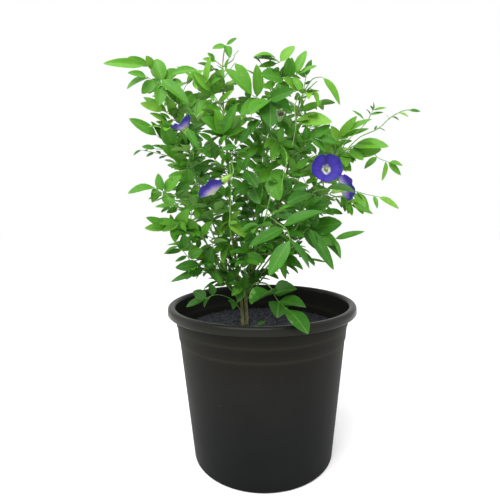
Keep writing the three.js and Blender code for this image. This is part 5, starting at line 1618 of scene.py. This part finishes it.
# %% Keel and cup
KEEL_LENGTH = 8
KEEL_WIDTH = 4.4
KEEL_THICKNESS = 2.6
KEEL_STEPS = 8
KEEL_SIDES = 12
KEEL_LEAN = -1.5
SLIT_DEPTH = 0.35
CALYX_LENGTH = 13
CALYX_RADIUS = 3.2
CALYX_LOBES = 5
CALYX_SIDES = 20
CALYX_GAP = 0.3
LOBE_RISE = 2.4
LOBE_FLARE = 0.35
# How far behind its mouth, as a share of the cup's length, and how wide: up the outside, then down inside
CALYX_OUTSIDE = [(1, 0.28), (0.93, 0.6), (0.75, 0.88), (0.5, 1.0), (0.3, 1.08), (0.12, 1.16), (0, 1.25)]
CALYX_INSIDE = [(0.04, 1.1), (0.2, 0.85)]


def closed_grid(name, rings, place):
    """A closed form from rings of points with equal counts, capped at both ends, placed and in metres."""
    form = bmesh.new()
    made = [[form.verts.new(place @ Vector(point) * MM) for point in ring] for ring in rings]
    for low, high in zip(made, made[1:]):
        for at in range(len(low)):
            after = (at + 1) % len(low)
            form.faces.new((low[at], low[after], high[after], high[at]))
    form.faces.new(made[0][::-1])
    form.faces.new(made[-1])
    bmesh.ops.recalc_face_normals(form, faces=form.faces)
    return mesh_from(form, name, 180)


def keel_rings():
    """A small boat-shaped keel that stands in the throat, with a slit along its top."""
    rings = []
    for share in (step / KEEL_STEPS for step in range(KEEL_STEPS + 1)):
        girth = math.sin(math.pi * (0.06 + 0.9 * share)) ** 0.7
        height = BANNER_THICKNESS / 2 - THROAT_DEPTH + KEEL_LENGTH * share
        ring = []
        for angle in (math.tau * at / KEEL_SIDES for at in range(KEEL_SIDES)):
            slit = 1 - SLIT_DEPTH * max(0, math.sin(angle)) ** 6
            x = girth * KEEL_THICKNESS / 2 * math.cos(angle)
            ring.append((x, KEEL_LEAN * share + girth * KEEL_WIDTH / 2 * math.sin(angle) * slit, height))
        rings.append(ring)
    return rings


def calyx_rings():
    """A green cup from its foot up to its mouth, which ends in five pointed lobes, and back down inside."""
    mouth = -BANNER_THICKNESS / 2 - CALYX_GAP
    rings = []
    for behind, radius in CALYX_OUTSIDE + CALYX_INSIDE:
        ring = []
        for angle in (math.tau * at / CALYX_SIDES for at in range(CALYX_SIDES)):
            lobe = max(0, 1 - 3 * behind) * (0.5 + 0.5 * math.cos(CALYX_LOBES * angle))
            r = radius * CALYX_RADIUS * (1 + LOBE_FLARE * lobe)
            height = mouth - behind * CALYX_LENGTH + LOBE_RISE * lobe
            ring.append((r * math.cos(angle), r * math.sin(angle), height))
        rings.append(ring)
    return rings


print("keel:", KEEL_LENGTH, "mm, cup:", CALYX_LENGTH, "mm")

# %% Finish of keel and cup
KEEL_COLOURS = [(0.3, "66802f"), (0.6, "93a64e"), (0.8, "b4bf78")]
CALYX_COLOURS = [(0.3, "568a2c"), (0.5, "74a03a"), (0.7, "93b850")]


def make_plain_petal_finish(name, stops, mottle_size):
    """A soft matt plant skin in mottled colours, its patches mottle_size mm across."""
    made, tree = new_material(name)
    place = add(tree, "ShaderNodeTexCoord").outputs["Object"]
    mottle = add(tree, NOISE, {"Vector": place, "Scale": per_metre(mottle_size), "Detail": 4})
    colour = add(tree, RAMP, [mottle], stops)
    relief = add(tree, BUMP, {"Strength": 0.25, "Distance": 0.3 * MM, "Height": mottle})
    looks = {"Base Color": colour, "Roughness": 0.6, "Specular IOR Level": 0.35, "Normal": relief}
    skin = add(tree, PRINCIPLED, {**looks, "Sheen Weight": 0.15})
    add(tree, "ShaderNodeOutputMaterial", {"Surface": skin})
    return made


keel_finish = make_plain_petal_finish("cream_keel_petal", KEEL_COLOURS, 6)
calyx_finish = make_plain_petal_finish("light_green_calyx", CALYX_COLOURS, 2.5)
print("petal finishes:", keel_finish.name, calyx_finish.name)

# %% Setting the flowers on their stalks
PEDICEL_RADIUS = 0.8
# How far behind the banner, in lengths of the cup, the flower's stalk bends and where it ends in the cup
PEDICEL_BEND, PEDICEL_END = 1.6, 0.95
PEDICEL_STEPS = 10


def flower_frame(centre, looks):
    """The frame of a flower: Z the way that it looks, Y upwards."""
    facing = Vector(looks).normalized()
    side = UP.cross(facing).normalized()
    turn = Matrix((side, facing.cross(side), facing)).transposed().to_4x4()
    return Matrix.Translation(centre) @ turn


def pedicel(name, stalk, share, hold):
    """The stalk of a flower, which bends from its vine into the foot of the cup."""
    root, _ = point_along(courses[stalk], share)
    bend, foot = (hold @ Vector((0, 0, -back * CALYX_LENGTH)) for back in (PEDICEL_BEND, PEDICEL_END))
    line = [bow(root, bend, foot, step / PEDICEL_STEPS) for step in range(PEDICEL_STEPS + 1)]
    source = carrier_mesh(name, [(line, [PEDICEL_RADIUS] * len(line))])
    finished(grown(name, source, sweep_tree, {"Sides": 8, "Finish": vine_finish}))


hood_turn = Matrix.Translation((0, BANNER_LENGTH / 2, BANNER_DISH))
hood_turn = hood_turn @ Matrix.Rotation(math.radians(90), 4, "X")
for name, (stalk, share, centre, looks, turn, opened, size, hooded) in FLOWERS.items():
    place = flower_frame(centre, looks) @ Matrix.Rotation(math.radians(turn), 4, "Z")
    place = place @ Matrix.Scale(size, 4)
    hold = place @ hood_turn if hooded else place
    pieces = {
        "banner": (banner_mesh(name, opened, place), "banner_petal", banner_finish),
        "keel": (closed_grid(name + "_keel", keel_rings(), place), "keel_petal", keel_finish),
        "calyx": (closed_grid(name + "_calyx", calyx_rings(), hold), "calyx", calyx_finish),
    }
    for part, (mesh, slot, finish) in pieces.items():
        finished(object_of(f"fine_{name}_{part}", mesh), [f"{name}_{part}"], finish)
    pedicel(name + "_pedicel", stalk, share, hold)
print("flowers:", len(FLOWERS))

# %% A spent flower
# Its petals have shrunk to a crumpled lump in the faded cup. The lump is nearly black: partly its own colour,
# partly painted shade deep inside the cup.
SPENT_PLACE = (20, -105, 447)
SPENT_LOOKS = (0, -1, 0.4)
SPENT_LUMP = 5.5
SPENT_ROOT = ("vine_top_middle", 0.8)
FADED_COLOURS = [(0.3, "4c7434"), (0.5, "6a8848"), (0.7, "8c9a6c")]
WITHERED_AND_SHADE_COLOURS = [(0.3, "0f0b09"), (0.5, "1f1815"), (0.7, "3a302e")]
faded = make_plain_petal_finish("faded_calyx", FADED_COLOURS, 2.5)
withered_and_shade_finish = make_plain_petal_finish("withered_petal_and_painted_shade", WITHERED_AND_SHADE_COLOURS, 2)
hold = flower_frame(SPENT_PLACE, SPENT_LOOKS)
spent_cup = object_of("spent_flower_cup", closed_grid("spent_flower_cup", calyx_rings(), hold))
withered_lump_and_shade = lump_mesh("withered_petals", 7.3, 1.3)
withered_lump_and_shade.transform(hold @ Matrix.Scale(SPENT_LUMP * MM, 4))
for vertex in withered_lump_and_shade.vertices:
    vertex.co += Vector(SPENT_PLACE) * (MM - 1)
finished(spent_cup, finish=faded)
finished(object_of("withered_petals", withered_lump_and_shade), finish=withered_and_shade_finish)
pedicel("spent_flower_pedicel", *SPENT_ROOT, hold)
bpy.data.objects.remove(leaflet)
print("spent flower:", triangles(spent_cup), "triangles in its cup")
